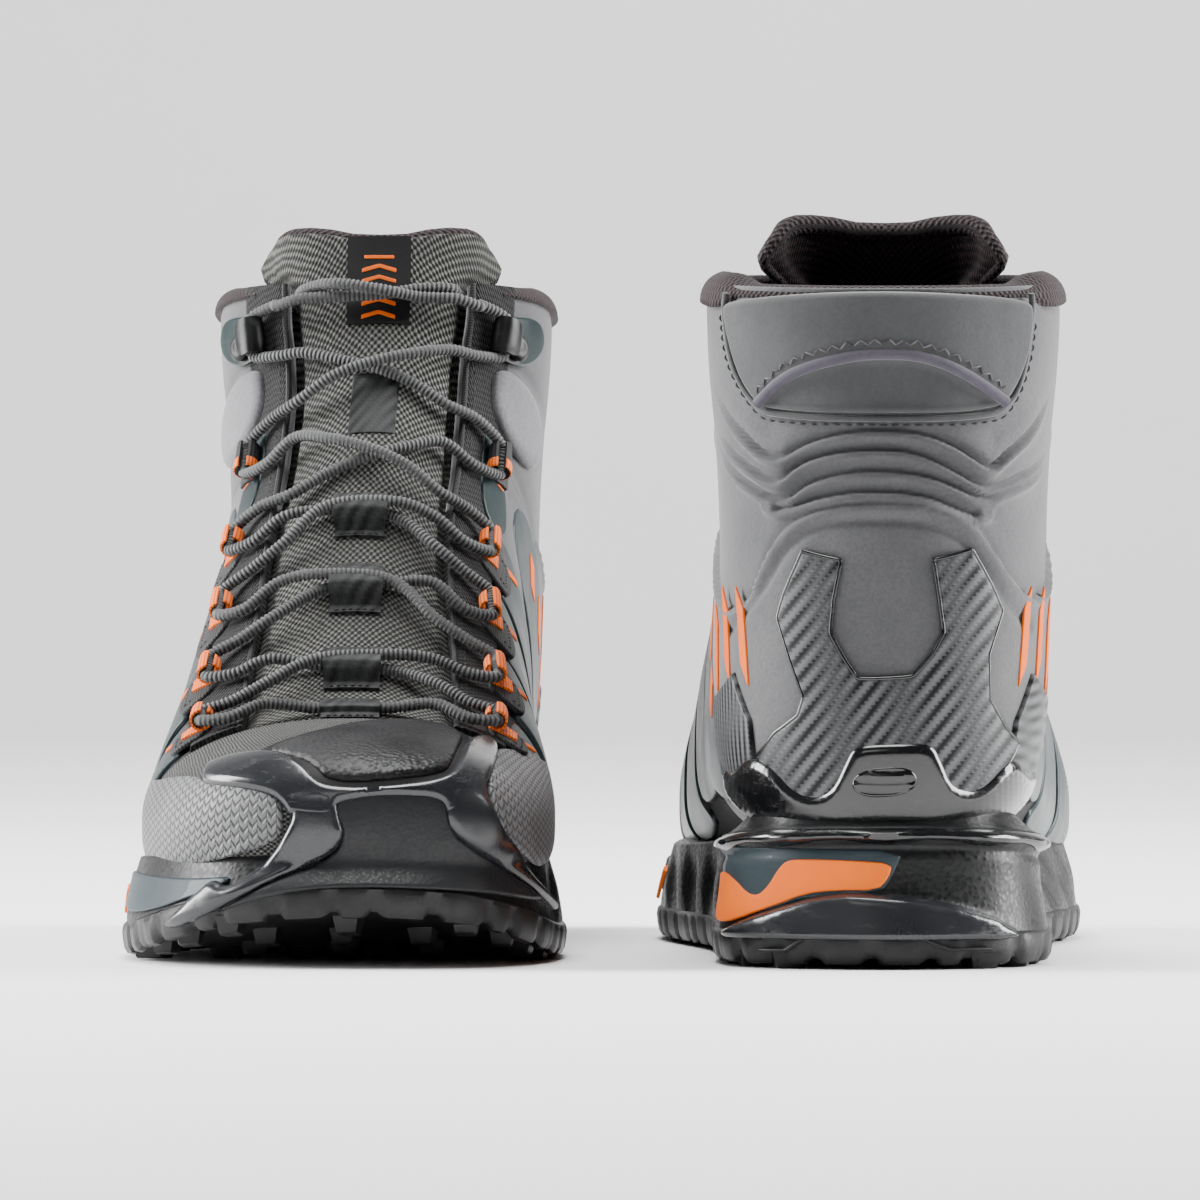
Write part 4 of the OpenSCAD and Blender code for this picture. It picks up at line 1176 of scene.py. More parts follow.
def half_route(s):
    """From the tucked end down to the lowest loop."""
    over = LOW if s > 0 else HIGH
    top = LOW + (.7 if s > 0 else 4.2)
    r = [(17.5, s * 11, top), (17.1, 0, top), (16.9, -s * 11, LOW + 1.9), (16.8, -s * 22, STRAND + .8),
         (16.6, -s * 30, STRAND + 1)]
    r += turn(HOOK, -s * HOOK_V, .75, HOOK_LACE, -1) + across(14.3, 12.4, -s, over)
    r += turn(ANKLE, s * LOOP_V, .42, LOOP_OFF, -1) + across(11.3, 10., s, over)
    t = s
    for i, (a, b, c, d) in CROSSINGS:
        r += turn(LOOPS[i], -t * LOOP_V, .24, LOOP_OFF, -1)
        r += [(a, -t * 22, STRAND), (b, -t * 9, over), (c, t * 9, over), (d, t * 22, STRAND)]
        t = -t
    return r + turn(LOOPS[0], -t * LOOP_V, .24, LOOP_OFF, -1)


def tucked(s):
    """The lace's end on side s, behind the eyestay."""
    return [(14.2, s * 40, -5.4), (15.2, s * 39, -5.4), (16.3, s * 38, -5.4), (17.1, s * 34, -5.3),
            (17.4, s * 30, -4.), (17.5, s * 26.5, -1.9), (17.6, s * 21, 1.3)]


LACE_STEP = .21


def lace_line():
    low = [(5.42, 22, STRAND), (5.45, 9, LOW), (5.5, 0, LOW), (5.45, -9, LOW), (5.42, -22, STRAND)]
    route = tucked(1) + half_route(1) + low + half_route(-1)[::-1] + tucked(-1)[::-1]
    u, v, off = np.array(route).T
    p = skin(u, v, off)
    fine = catmull(p, np.linspace(0, len(p) - 1, len(p) * 12))
    return resample(fine, LACE_STEP)


def laces():
    p = lace_line()
    n, sides = len(p), 10
    s = np.arange(n) * LACE_STEP
    angle = np.arange(sides) * 2 * np.pi / sides
    rib = np.cos(2 * np.pi * s[:, None] / LACE_PITCH + angle[None, :])
    shape = tube(p, 1.5 + .14 * rib, sides)
    shape.uv[0][:, 1] = np.tile(angle * 1.5, n)
    build("laces", shape, PAINTS["lace"], ["laces"], sharp=None)
    tips = Shape()
    for s in (-1, 1):
        a, b = skin(14.2, s * 40, -5.4), skin(15.2, s * 39, -5.4)
        d = unit(a - b)
        line = a + np.linspace(0, 10, 12)[:, None] * d
        tips.join(tube(line, np.array([1.25, 1.4, 1.35, 1.3, 1.3, 1.3, 1.3, 1.3, 1.3, 1.25, 1.1, .8]), 14))
    build("aglets", tips, PAINTS["aglet"], ["aglets"])


def local_frame(u, v, off):
    """A point on the skin, and the directions across the boot, up it and off it."""
    p, z = skin(u, v, off), normal(u, v)
    up = oval(u + .1, v) - oval(u - .1, v)
    y = unit(up - (up @ z) * z)
    return p, np.cross(y, z), y, z


def grid_at(axes, x, y, z):
    """Points at x, y, z in a local frame."""
    p, across_it, up, out = axes
    return p + x[..., None] * across_it + y[..., None] * up + z[..., None] * out


def band(axes, s, radius, width, wall=.75, tail=5., taper=.45):
    """Webbing folded round the lace: a ring whose tape is widest at the outside, and its two tails."""
    ang = np.radians(np.linspace(-205, 115, 34))[:, None]
    k = np.linspace(-1, 1, 9)[None]
    w = width / 2 * (1 - taper * np.clip(-np.cos(ang), 0, 1) ** 1.5)
    outer_radius = radius + wall - .18 * np.abs(k) ** 4
    inner, outer = (grid_at(axes, s * np.cos(ang) * r, w * k, np.sin(ang) * r)
                    for r in (radius + 0 * k, outer_radius))
    tex = np.stack(np.broadcast_arrays(ang * radius, k * width / 2), -1)
    ring = slab(outer, inner, tex) if s < 0 else slab(outer[:, ::-1], inner[:, ::-1], tex)
    t = np.linspace(radius * .55, radius + tail, 8)[:, None]
    w = width / 2 * np.interp(t, [radius, radius + tail], [.95, .62])
    drop = -.35 * step(t, radius + tail * .5, radius + tail)
    low, high = (grid_at(axes, s * t + 0 * k, w * k, -radius - wall + drop + lift + 0 * k)
                 for lift in (0, wall))
    tex = np.stack(np.broadcast_arrays(t, k * width / 2), -1)
    return ring.join(slab(high[:, ::-1], low[:, ::-1], tex) if s < 0 else slab(high, low, tex))


def loops():
    orange, tabs = Shape(), Shape()
    for u in LOOPS:
        tab = [(u - .3, 41), (u - .38, 47), (u - .36, 57), (u + .02, 60), (u + .34, 56), (u + .36, 46),
               (u + .28, 41)]
        seam = [(u - .22, 51), (u - .22, 55), (u + .22, 55), (u + .22, 51)]
        for s in (-1, 1):
            orange.join(band(local_frame(u, s * LOOP_V, LOOP_OFF), s, LOOP_RADIUS, 8.4))
            tabs.join(on_side(u, 50, s, tab, height=.9, radius=.8, base=-.3, spacing=2, floor=1.5))
            tabs.join(stitches(sym(seam, s), pitch=1.7, length=1.2, width=.2, off=2.35, m=1))
    build("lace_loops", orange, PAINTS["orangeweb"], ["lace_loops"])
    build("loop_tabs", tabs, [PAINTS["blackweb"], PAINTS["thread"]])


def ankle_loops():
    """Black webbing, with a narrow orange stripe along its lower edge."""
    black, stripe = Shape(), Shape()
    for s in (-1, 1):
        p, x, y, z = local_frame(ANKLE, s * LOOP_V, LOOP_OFF)
        black.join(band((p, x, y, z), s, LOOP_RADIUS, 9.5, wall=.9, tail=7, taper=.15))
        stripe.join(band((p - y * 3.1, x, y, z), s, LOOP_RADIUS + .75, 3.0, wall=.5, tail=5.5, taper=0))
    build("ankle_loops", black, PAINTS["blackweb"], ["ankle_loops"])
    build("ankle_loop_stripes", stripe, PAINTS["orangeweb"])


def lathe(p, x, y, z, profile, sides=24):
    """A turned piece about z, from (radius, height) pairs."""
    ang = np.arange(sides) * 2 * np.pi / sides
    r, h = np.array(profile).T
    pts = p + (r[:, None] * np.cos(ang))[..., None] * x + (r[:, None] * np.sin(ang))[..., None] * y \
        + h[:, None, None] * z
    return Shape().add(pts, [quads(len(r), sides, 0, True)] + end_caps(len(r), sides))


def hooks():
    hook, studs = Shape(), Shape()
    for s in (-1, 1):
        p, x, y, z = local_frame(HOOK, s * HOOK_V, HOOK_OFF)
        path = np.array([(10.4, .3), (8.5, .5), (4, .55), (0, .6), (-1.6, .75), (-2.7, 1.6), (-3.0, 3.0),
                         (-2.8, 4.6), (-1.8, 5.8), (-.2, 6.2), (1.6, 6.1), (3.2, 5.6), (4.1, 4.9)])
        path = catmull(path, np.linspace(0, len(path) - 1, 60))
        d = unit(np.gradient(path, axis=0))
        side = np.stack([-d[:, 1], d[:, 0]], 1)
        half = np.interp(np.linspace(0, 1, 60), [0, .12, .4, .55, .8, 1], [2.9, 4.9, 5.3, 5.2, 5.1, 3.7])
        k = np.linspace(-1, 1, 11)
        layers = []
        for lay in (-.6, .6):
            t = lay * (1 - .35 * np.abs(k) ** 4)
            q = path[:, None] + side[:, None] * t[None, :, None]
            layers.append(p + s * q[..., :1] * x + (half[:, None] * k[None])[..., None] * y + q[..., 1:] * z)
        low, high = layers
        hook.join(slab(high[:, ::-1], low[:, ::-1]) if s > 0 else slab(high, low))
        c = p + s * 7.0 * x + 1.1 * z
        studs.join(lathe(c, x, y, z, [(1.5, -2.6), (1.5, .0), (3.1, .05), (3.7, .5), (3.9, 1.1), (3.5, 1.7),
                                      (2.4, 2.15), (2.0, 2.1), (1.2, 2.3), (.3, 2.4)]))
    build("lace_hooks", hook, PAINTS["hook"], ["lace_hooks"])
    build("hook_rivets", studs, PAINTS["hook"], ["hook_rivets"])


# ---------------------------------------------------------------- overlays on the upper
def sym(points, s):
    """An outline on side s of the boot."""
    return [(u, s * v) for u, v in points]


def on_side(u, v, s, outline, **sizes):
    """A panel on side s, laid out flat about row u and column v."""
    return panel(SkinChart(u, s * v), sym(outline, s), **sizes)


# A printed mark: thin, with sharp corners.
INK = {"height": .3, "radius": .25, "base": -.3, "smooth": 0}


def stay_face(u, v):
    """The eyestay's face, rounded along both edges."""
    edge = np.clip(np.minimum(np.abs(v) - 30, 50 - np.abs(v)) / 2.2, 0, 1)
    return .2 + 1.3 * np.sqrt(np.clip(1 - (1 - edge) ** 2, 0, 1))


def eyestays():
    stay, edge = Shape(), Shape()
    us = spread(5.02, 17.97, .09)
    for s in (-1, 1):
        vs = spread(30, 50, 1.25) if s > 0 else spread(-50, -30, 1.25)
        stay.join(shell(us, vs, stay_face, at(-.1)))
        edge.join(tube(skin(us, np.full(len(us), s * 30.4), .75), .85, 8))
        stay.join(stitches([(u, s * 33.5) for u in spread(5.1, 14.6, .3)], pitch=2.6, length=1.8,
                           width=.22, off=1.45, m=1))
    build("eyestays", stay, [PAINTS["mesh"], PAINTS["thread"]], ["eyestays"])
    build("eyestay_binding", edge, PAINTS["binding"])


def ankle_patches():
    patch, pale = Shape(), Shape()
    high = [(16.5, 42), (16.85, 54), (16.9, 66), (16.2, 70), (15.2, 58), (14.9, 46), (15.1, 40), (16.0, 39)]
    low = [(10.4, 40), (12.5, 38), (12.8, 43), (11.4, 52), (10.4, 54)]
    pad = [(14.7, 42), (14.75, 62), (14.2, 74), (13.3, 72), (12.75, 58), (12.8, 46), (13.4, 41)]
    for s in (-1, 1):
        patch.join(on_side(15.6, 50, s, high, height=.8, radius=.8, base=-.3, spacing=2.4, floor=1.45))
        patch.join(on_side(11.4, 45, s, low, height=.7, radius=.8, base=-.3, spacing=2.2, floor=1.45))
        pale.join(on_side(13.8, 56, s, pad, height=2.2, radius=3, base=-.4, spacing=2, floor=1.5))
    build("teal_patches", patch, PAINTS["brightteal"])
    build("ankle_pads", pale, PAINTS["panelgrey"])


def quarter_overlays():
    teal, ink = Shape(), Shape()
    rear_sail = [(11.9, 56), (12.3, 74), (11.7, 100), (11.2, 124), (10.4, 128), (9.8, 112), (10.2, 84),
                 (10.6, 62)]
    for s in (-1, 1):
        for i, u in enumerate(LOOPS):
            reach = 128 if i < 3 else 118
            over = .12 * (i % 2)
            sail = [(u + .9, 50), (u + .8, 62), (u + .4, 82), (u + .3, 104), (u + .75, reach),
                    (u - .6, reach), (u - .75, 104), (u - .7, 84), (u - .38, 64), (u - .42, 52)]
            teal.join(on_side(u, 85, s, sail, height=1.1, radius=1, base=-.4, spacing=3, floor=.1 + over))
            line = [(u + .82, 53), (u + .4, 56.5), (u + .62, 64)]
            tick = line + [(a - .1, b + .9) for a, b in line[::-1]]
            ink.join(on_side(u, 70, s, tick, spacing=2, edge=.6, floor=1.2 + over, **INK))
        teal.join(on_side(10.6, 95, s, rear_sail, height=1.1, radius=1, base=-.4, spacing=3, floor=.3))
        for u, v in ((11.45, 74), (11.55, 86), (11.3, 97)):
            bar = [(u + .22, v - 3), (u + .28, v + 1.5), (u - .3, v + 5), (u - .34, v + .5)]
            ink.join(on_side(u, v, s, bar, spacing=2, edge=.6, floor=1.35, **INK))
    build("quarter_overlays", teal, PAINTS["teal"], ["quarter_overlays"])
    build("quarter_marks", ink, PAINTS["orange"])


# Outlines on the toe's skin: row, column.
TOE_PLATE = [(3.21, -27.3), (3.74, -12.4), (4.47, -.7), (4.87, 9.4), (5.03, 19.9), (4.99, 28.9), (4.7, 33.5),
             (3.87, 33.5), (2.93, 35), (2.2, 38), (1.5, 18.8), (1.42, -13.8), (1.95, -14.3), (2.45, -17.2),
             (2.89, -22.3)]
TOE_FRAME = [(3.05, -57.7), (3.42, -50.1), (3.35, -41.2), (3.01, -28.5), (2.61, -22.2), (2.02, -19.4),
             (1.36, -18.5), (1.2, -13), (1.25, 21.3), (2.02, 42), (2.97, 36.5), (3.73, 34.8), (4.5, 35.6),
             (4.93, 40.8), (4.73, 46.6), (3.99, 49), (2.73, 54.6), (2.28, 62), (2.18, 79), (1.26, 73),
             (1.46, 56), (1.0, 34), (.8, 10), (.7, -18), (.56, -26), (.4, -42), (.92, -69), (1.07, -58),
             (1.42, -50), (1.81, -52.4), (2.32, -57), (2.88, -60)]
# Outlines on the toe's wall: mm round the sole from the heel, and height.
FRONT_PANEL = [(367, 41), (366, 45), (350, 46.4), (336.5, 45.5), (335.5, 35), (328, 30), (317, 25.5),
               (306, 21.5), (292, 16.5), (306, 17), (330, 19.6), (346, 20.6), (360, 21), (374, 20.3),
               (388, 17.2), (400, 13.5), (394, 16.8), (383, 22.3), (375, 25.5), (367, 29), (364, 34)]
LEFT_STRUT = [(380.5, 47), (379, 41.5), (378, 39), (379.5, 36), (383, 30), (390, 24), (396, 20.8),
              (399, 22.5), (402, 22.5), (404.5, 20), (411, 15.5), (419, 11), (416, 9.3), (404, 12.5),
              (393, 17), (383, 22.5), (375, 25.5), (367, 29), (363.5, 34), (365.5, 40), (366, 47)]
RIGHT_STRUT = [(336, 48), (337, 40), (336, 35), (329, 30), (318, 25.5), (308, 22), (294, 17), (279, 12.5),
               (281, 15.8), (296, 21.5), (306, 27.5), (317, 33.5), (321, 38.5), (323, 44.5), (324, 48)]


class FrontChart(SkinChart):
    """Flat coordinates for the toe: a dome spread out round its tip."""

    def __init__(self):
        u, v = np.meshgrid(np.arange(0, 9.01, .06), np.arange(-180, 181, 2.), indexing="ij")
        self.u, self.v = u.ravel(), v.ravel()
        self.tree = KDTree(u.size)
        for i, (x, y) in enumerate(self.project(oval(self.u, self.v))):
            self.tree.insert((x, y, 0), i)
        self.tree.balance()

    @staticmethod
    def project(p):
        behind = p[..., 1] * .75
        across_it = np.stack([p[..., 0], p[..., 2] - 34], -1)
        size = np.linalg.norm(across_it, axis=-1, keepdims=True)
        return across_it * (1 + (behind[..., None] / np.maximum(size, 8)))

    def flat(self, uv):
        uv = np.asarray(uv, float)
        return self.project(oval(uv[:, 0], uv[:, 1]))

    def guess(self, x, y):
        """Row and column of the nearest places in a grid, weighted by how near they are."""
        near = self.tree.find_n((x, y, 0), 4)
        w = np.array([1 / (d + 1e-3) ** 2 for _, _, d in near])
        k = [j for _, j, _ in near]
        turned = self.v[k] - self.v[k][0]
        v = np.where(turned > 180, self.v[k] - 360, np.where(turned < -180, self.v[k] + 360, self.v[k]))
        return (self.u[k] * w).sum() / w.sum(), (v * w).sum() / w.sum()

    def back(self, p):
        u, v = np.array([self.guess(x, y) for x, y in p]).T
        for _ in range(4):
            f = self.project(oval(u, v)) - p
            e = 1e-3
            fu = (self.project(oval(u + e, v)) - self.project(oval(u - e, v))) / (2 * e)
            fv = (self.project(oval(u, v + .1)) - self.project(oval(u, v - .1))) / .2
            det = fu[:, 0] * fv[:, 1] - fu[:, 1] * fv[:, 0]
            det = np.where(np.abs(det) < 1e-6, 1e-6, det)
            u = np.clip(u - np.clip((f[:, 0] * fv[:, 1] - f[:, 1] * fv[:, 0]) / det, -.2, .2), .02, 9)
            v = v - np.clip((fu[:, 0] * f[:, 1] - fu[:, 1] * f[:, 0]) / det, -4, 4)
        return u, v

    def uv(self, p):
        return p.copy()


# Height of the midsole's upper edge along y.
MID_TOP = np.array([[0, 29.5], [20, 28.5], [45, 27.5], [62, 26.8], [100, 26], [146, 28], [185, 31],
                    [228, 32.5], [262, 33], [285, 35], [305, 36.5]])


LIP_WAVE = 29


def mid_top(y):
    return np.interp(y, MID_TOP[:, 0], MID_TOP[:, 1])


def lean(s, z):
    """How far the midsole's wall stands off the sole's outline: waisted, flared round the heel, with a
    wavy lip along its upper edge and a crescent low behind."""
    y = rim(s)[0][..., 1]
    low, top = 9 + spring(y), mid_top(y)
    t = np.clip((z - low) / np.maximum(top - low, 1), 0, 1)
    heel = step(y, 190, 262)
    waist = gauss((y - 172) / 36, 1)
    front = 1 - step(y, 22, 60)
    off = -1.0 - 1.6 * t * heel - 1.1 * np.sin(np.pi * t) * (.4 + .6 * heel) - 1.6 * waist * t
    off = off - (1 - heel) * (3.6 * t ** 1.5 + 1.0 * t * front)
    lip = gauss((z - (top - 2.4)) / 1.5, 1)
    wave = .5 + .5 * np.cos(s * 2 * math.pi / LIP_WAVE)
    off = off + heel * (1.3 + .9 * wave) * lip - .9 * heel * gauss((z - (top - 5.6)) / 1.2, 1)
    crest = np.interp(s, [-60, -48, -31, -19, -9, 5, 18, 30, 40, 52],
                      [8, 11, 15.5, 19, 20, 19, 17, 13.5, 8, 6])
    return off + 2.4 * step(crest - z, -.3, 2.2) * step(-np.abs(s), -66, -44)


NOSE_S, NOSE_Z = np.arange(277, 450, 4.), np.arange(26, 57, 2.)


def nose_table():
    """How far in the toe's skin lies from the sole's outline, by mm round it and height."""
    u, v = np.meshgrid(np.arange(.02, 4.6, .04), np.arange(-180, 180, 1.5), indexing="ij")
    q = oval(u, v).reshape(-1, 3)
    p, n = rim(NOSE_S)
    table = np.zeros((len(NOSE_S), len(NOSE_Z)))
    for i in range(len(NOSE_S)):
        d = q[:, :2] - p[i]
        near = np.abs(d @ [-n[i, 1], n[i, 0]]) < 1.8
        for j, z in enumerate(NOSE_Z):
            k = near & (np.abs(q[:, 2] - z) < 1.3)
            table[i, j] = (d[k] @ n[i]).max() if k.any() else np.nan
    for column in table.T:
        known = ~np.isnan(column)
        column[:] = np.interp(NOSE_S, NOSE_S[known], column[known])
    for _ in range(2):
        table[1:-1] = (table[:-2] + 2 * table[1:-1] + table[2:]) / 4
    return table


NOSE = nose_table()


def nose(s, z):
    """The wall of the toe: the sole's side low down, the upper's skin higher up, one smooth surface."""
    s = np.mod(s, AROUND)
    i = np.clip((s - NOSE_S[0]) / (NOSE_S[1] - NOSE_S[0]), 0, len(NOSE_S) - 1.001)
    j = np.clip((z - NOSE_Z[0]) / (NOSE_Z[1] - NOSE_Z[0]), 0, len(NOSE_Z) - 1.001)
    upper = step(z, 20, 33)
    return (lean(s, np.minimum(z, 27.)) + .3) * (1 - upper) + between(NOSE, i, j) * upper


def toe():
    c, low = FrontChart(), WallChart(nose)
    build("toe_plate", panel(c, TOE_PLATE, height=1.6, radius=2.6, base=-.4, spacing=1.6, floor=.1),
          PAINTS["toeplate"])
    frame_bar = panel(c, TOE_FRAME, height=3.0, radius=2.6, base=-.4, spacing=1.5, edge=.8, floor=.15)
    build("toe_frame", frame_bar, PAINTS["bumper"], ["toe_bumper"])
    under = [(3.35, -32), (3.95, -15), (4.6, -2), (5.0, 9), (5.17, 20), (5.12, 31), (4.8, 37), (3.9, 38),
             (2.95, 41), (2.2, 44), (1.25, 24), (1.1, -13), (1.25, -21), (2.4, -24), (2.89, -27)]
    build("toe_underlay", panel(c, under, height=.35, radius=.5, base=-.4, spacing=2, floor=.03),
          PAINTS["label"])
    front = panel(low, FRONT_PANEL, height=1.3, radius=1.2, base=-.8, spacing=1.6, edge=.8, floor=.3,
                  smooth=1)
    build("toe_panel", front, PAINTS["frontpanel"])
    struts = [panel(low, line, height=2.9, radius=2.4, base=-.8, spacing=1.5, edge=.8, floor=.1, smooth=1)
              for line in (LEFT_STRUT, RIGHT_STRUT)]
    build("toe_struts", struts[0].join(struts[1]), PAINTS["bumper"])
    outer = [(6.9, -80), (5.6, -75), (3.6, -56), (2.9, -58), (2.4, -54), (1.7, -48), (1.3, -50), (1.0, -70),
             (1.0, -100), (1.8, -112), (3, -116), (5, -117), (6.9, -118)]
    inner = [(6.9, 80), (6.0, 66), (4.9, 46), (4.2, 47), (2.73, 54), (2.2, 74), (2.3, 90), (3.2, 106),
             (5, 117), (6.9, 118)]
    rands = [panel(c, line, height=1.3, radius=1.2, base=-.4, spacing=2, floor=.1)
             for line in (outer, inner)]
    build("side_rand", rands[0].join(rands[1]), PAINTS["scales"], ["side_rand"])


# The pull flap's outline and the arch stitched across it.
FLAP = [(17.6, 237), (17.72, 231), (17.9, 203), (17.96, 181), (17.9, 160), (17.75, 135), (17.6, 130),
        (16.77, 133), (16.2, 142), (16.18, 151), (16.23, 181), (16.17, 212.7), (16.15, 219), (16.56, 229)]
ARCH = [(16.2, 218.5), (16.6, 209), (16.82, 199), (16.97, 187), (17.0, 181), (16.98, 173), (16.83, 164),
        (16.6, 155), (16.24, 143.5)]


def bead(name, flat, off, radius, paint, closed=False):
    """A piped edge along a line in the rear chart."""
    line = REAR.lift(flat, np.full(len(flat), off))
    build(name, tube(line, radius, 8 if radius < 1 else 10, closed), PAINTS[paint])


def heel_counter():
    counter = [(14.49, 204), (14.0, 211), (13.74, 214), (13.42, 209), (13.14, 204), (12.95, 206),
               (12.66, 215), (12.3, 222), (12.1, 214), (12.1, 146), (12.3, 132), (12.6, 139),
               (13.0, 146.5), (13.42, 147), (13.74, 141), (14.05, 146), (14.49, 154), (14.46, 167),
               (14.06, 165), (13.75, 163.5), (13.58, 167.2), (13.42, 173), (13.40, 187), (13.56, 191),
               (13.75, 195), (14.06, 194), (14.46, 191.5)]
    shape = panel(FilmChart(15.5, 180), counter, height=1.3, radius=.8, base=-.6, spacing=1.6, edge=.8,
                  floor=1.5, smooth=0)
    build("heel_counter", shape, PAINTS["carbon"], ["heel_counter"])
    bead("counter_edge", resample(REAR.flat(counter), 1., True), 2.2, .6, "tpu", True)


def pull_flap():
    line = rear_line(ARCH)

    def lens(xy):
        """Sunk below the arch, and swelling along it."""
        d, _ = from_line(xy, line)
        y = np.interp(xy[:, 0], line[::-1, 0], line[::-1, 1])
        return np.where(xy[:, 1] < y, -1.3 * step(d, .2, 2.5), .5 * gauss(d, 5))

    shape = panel(REAR, FLAP, height=2.2, radius=1.8, base=-.6, spacing=1.3, edge=.8, relief=lens,
                  floor=1.2)
    build("pull_flap", shape, PAINTS["flap"], ["pull_flap"])
    bead("pull_flap_piping", resample(line, 1.), 3.3, 1.5, "arch")
    above = stitches([(u + .17, v) for u, v in ARCH], pitch=1.7, length=1.9, width=.24, off=3.9, zigzag=.75)
    build("zigzag_stitches", above, PAINTS["palethread"])
    seam = [(17.45, 239.5), (16.8, 237.5), (16.4, 231.5), (15.99, 219.9), (16.0, 212.9), (16.08, 181),
            (16.0, 150.5), (16.0, 140.5), (16.55, 131), (17.45, 127.5)]
    build("flap_stitches", stitches(soften(seam, 2, False), pitch=3, length=2, width=.3, off=1.7),
          PAINTS["thread"])
    edge = [(17.85, 236), (17.5, 237.5), (16.7, 234), (16.28, 226), (16.09, 218), (16.1, 212), (16.15, 181),
            (16.1, 150.5), (16.1, 143), (16.4, 134.5), (17.5, 129.5), (17.85, 130)]
    bead("flap_piping", resample(rear_line(edge), 1.), 1.5, .8, "flap")


def heel_cup():
    cup = [(11.3, 240), (11.5, 236), (11.98, 230.5), (12.2, 226), (12.31, 221.3), (12.36, 214), (12.26, 206),
           (12.28, 199), (12.39, 194), (12.63, 191), (12.84, 188), (12.87, 178), (12.84, 167), (12.62, 163.5),
           (12.36, 160), (12.22, 151), (12.3, 140), (12.2, 134), (11.98, 130), (11.5, 124), (11.3, 120),
           (10.9, 126), (11.4, 150), (11.85, 181), (11.4, 210), (10.9, 234)]
    ribs_end = REAR.flat([(12.55, 181)])[0, 1]

    def ribs(xy):
        return .08 * np.cos(xy[:, 0] * 2 * math.pi / 2.1) * step(ribs_end - xy[:, 1], 0, 4)

    build("heel_stabiliser", panel(REAR, cup, height=3.0, radius=3.0, base=-.8, spacing=1.0, edge=.8,
                                   relief=ribs, floor=1.0), PAINTS["tpu"], ["heel_stabiliser"])
    block = [(12.62, 187), (12.66, 173), (12.4, 171.5), (12.36, 188)]
    badge = panel(REAR, block, height=.6, radius=.8, base=-.3, spacing=1.2, edge=.7,
                  relief=lambda xy: .3 * np.cos(xy[:, 1] * 2.4), floor=3.8)
    build("heel_ribs", badge, PAINTS["tpu"])


def rear_sides():
    wings, ink = Shape(), Shape()
    wing = [(12.75, 122), (12.55, 133), (12.0, 138), (11.3, 128), (11.2, 112), (12.0, 108)]
    for s in (-1, 1):
        wings.join(on_side(11.7, 125, s, wing, height=1.0, radius=.8, base=-.5, spacing=2, floor=1.7,
                           smooth=0))
        for u, v in ((13.25, 126), (12.95, 114), (12.45, 103)):
            bar = [(u + .42, v - 3), (u + .3, v + 2), (u - .42, v + 5), (u - .3, v)]
            ink.join(on_side(u, v, s, bar, spacing=1.6, edge=.5, floor=1.5, **INK))
    build("counter_wings", wings, PAINTS["carbon"])
    build("rear_marks", ink, PAINTS["orange"])


# ---------------------------------------------------------------- sole
def side_detail(s, z, pitch=27):
    """Sculpted ribs and flares along both sides."""
    y = rim(s)[0][..., 1]
    amount = step(y, 40, 80) * (1 - step(y, 235, 270))
    row = (s + z * 1.1) * 2 * math.pi / pitch
    return amount * (.9 * np.tanh(2.2 * np.sin(row)) * gauss(z - 17, 7))


def cap(points, flip):
    """A flat face over a ring of points, turned up or down."""
    out = geometry.delaunay_2d_cdt([Vector(p[:2]) for p in points], [], [list(range(len(points)))], 1, 1e-6)
    tri = []
    for f in out[2]:
        k = [out[3][i][0] for i in f]
        a, b, c = (points[i] for i in k)
        up = (b[0] - a[0]) * (c[1] - a[1]) - (b[1] - a[1]) * (c[0] - a[0]) > 0
        tri.append(k if up != flip else k[::-1])
    return np.array(tri)


def sole_block(grid, s):
    """A closed block from rings of points round the sole, lowest first."""
    n = grid.shape[1]
    flat = grid.reshape(-1, 3)
    sides = quads(len(grid), n, 0, True)[:, ::-1]
    if np.cross(flat[1] - flat[0], flat[n] - flat[0]) @ [0, 1, 0] > 0:
        sides = sides[:, ::-1]
    tex = np.stack([np.broadcast_to(s, grid.shape[:2]), grid[..., 2]], -1)
    return Shape().add(flat, [sides, cap(grid[0], True), cap(grid[-1], False) + (len(grid) - 1) * n], tex)


def midsole():
    s = np.arange(0, AROUND, 1.5)
    y = rim(s)[0][:, 1]
    low = 8.6 + spring(y)
    top = np.maximum(mid_top(y), low + 3.2)
    z = low[None] + (top - low)[None] * np.linspace(0, 1, 26)[:, None]
    ss = np.broadcast_to(s, z.shape)
    off = lean(ss.ravel(), z.ravel()).reshape(z.shape) + side_detail(ss, z)
    rows = [wall(ss, z, off)]
    for inward, rise in ((.9, .3), (2.0, .8), (3.6, 2.0), (5.4, 3.8), (7.5, 5.6)):
        rows.append(wall(s, top + rise, off[-1] - inward)[None])
    shape = sole_block(np.concatenate(rows), s)
    build("midsole", shape, PAINTS["foam"], ["midsole"], sharp=None)


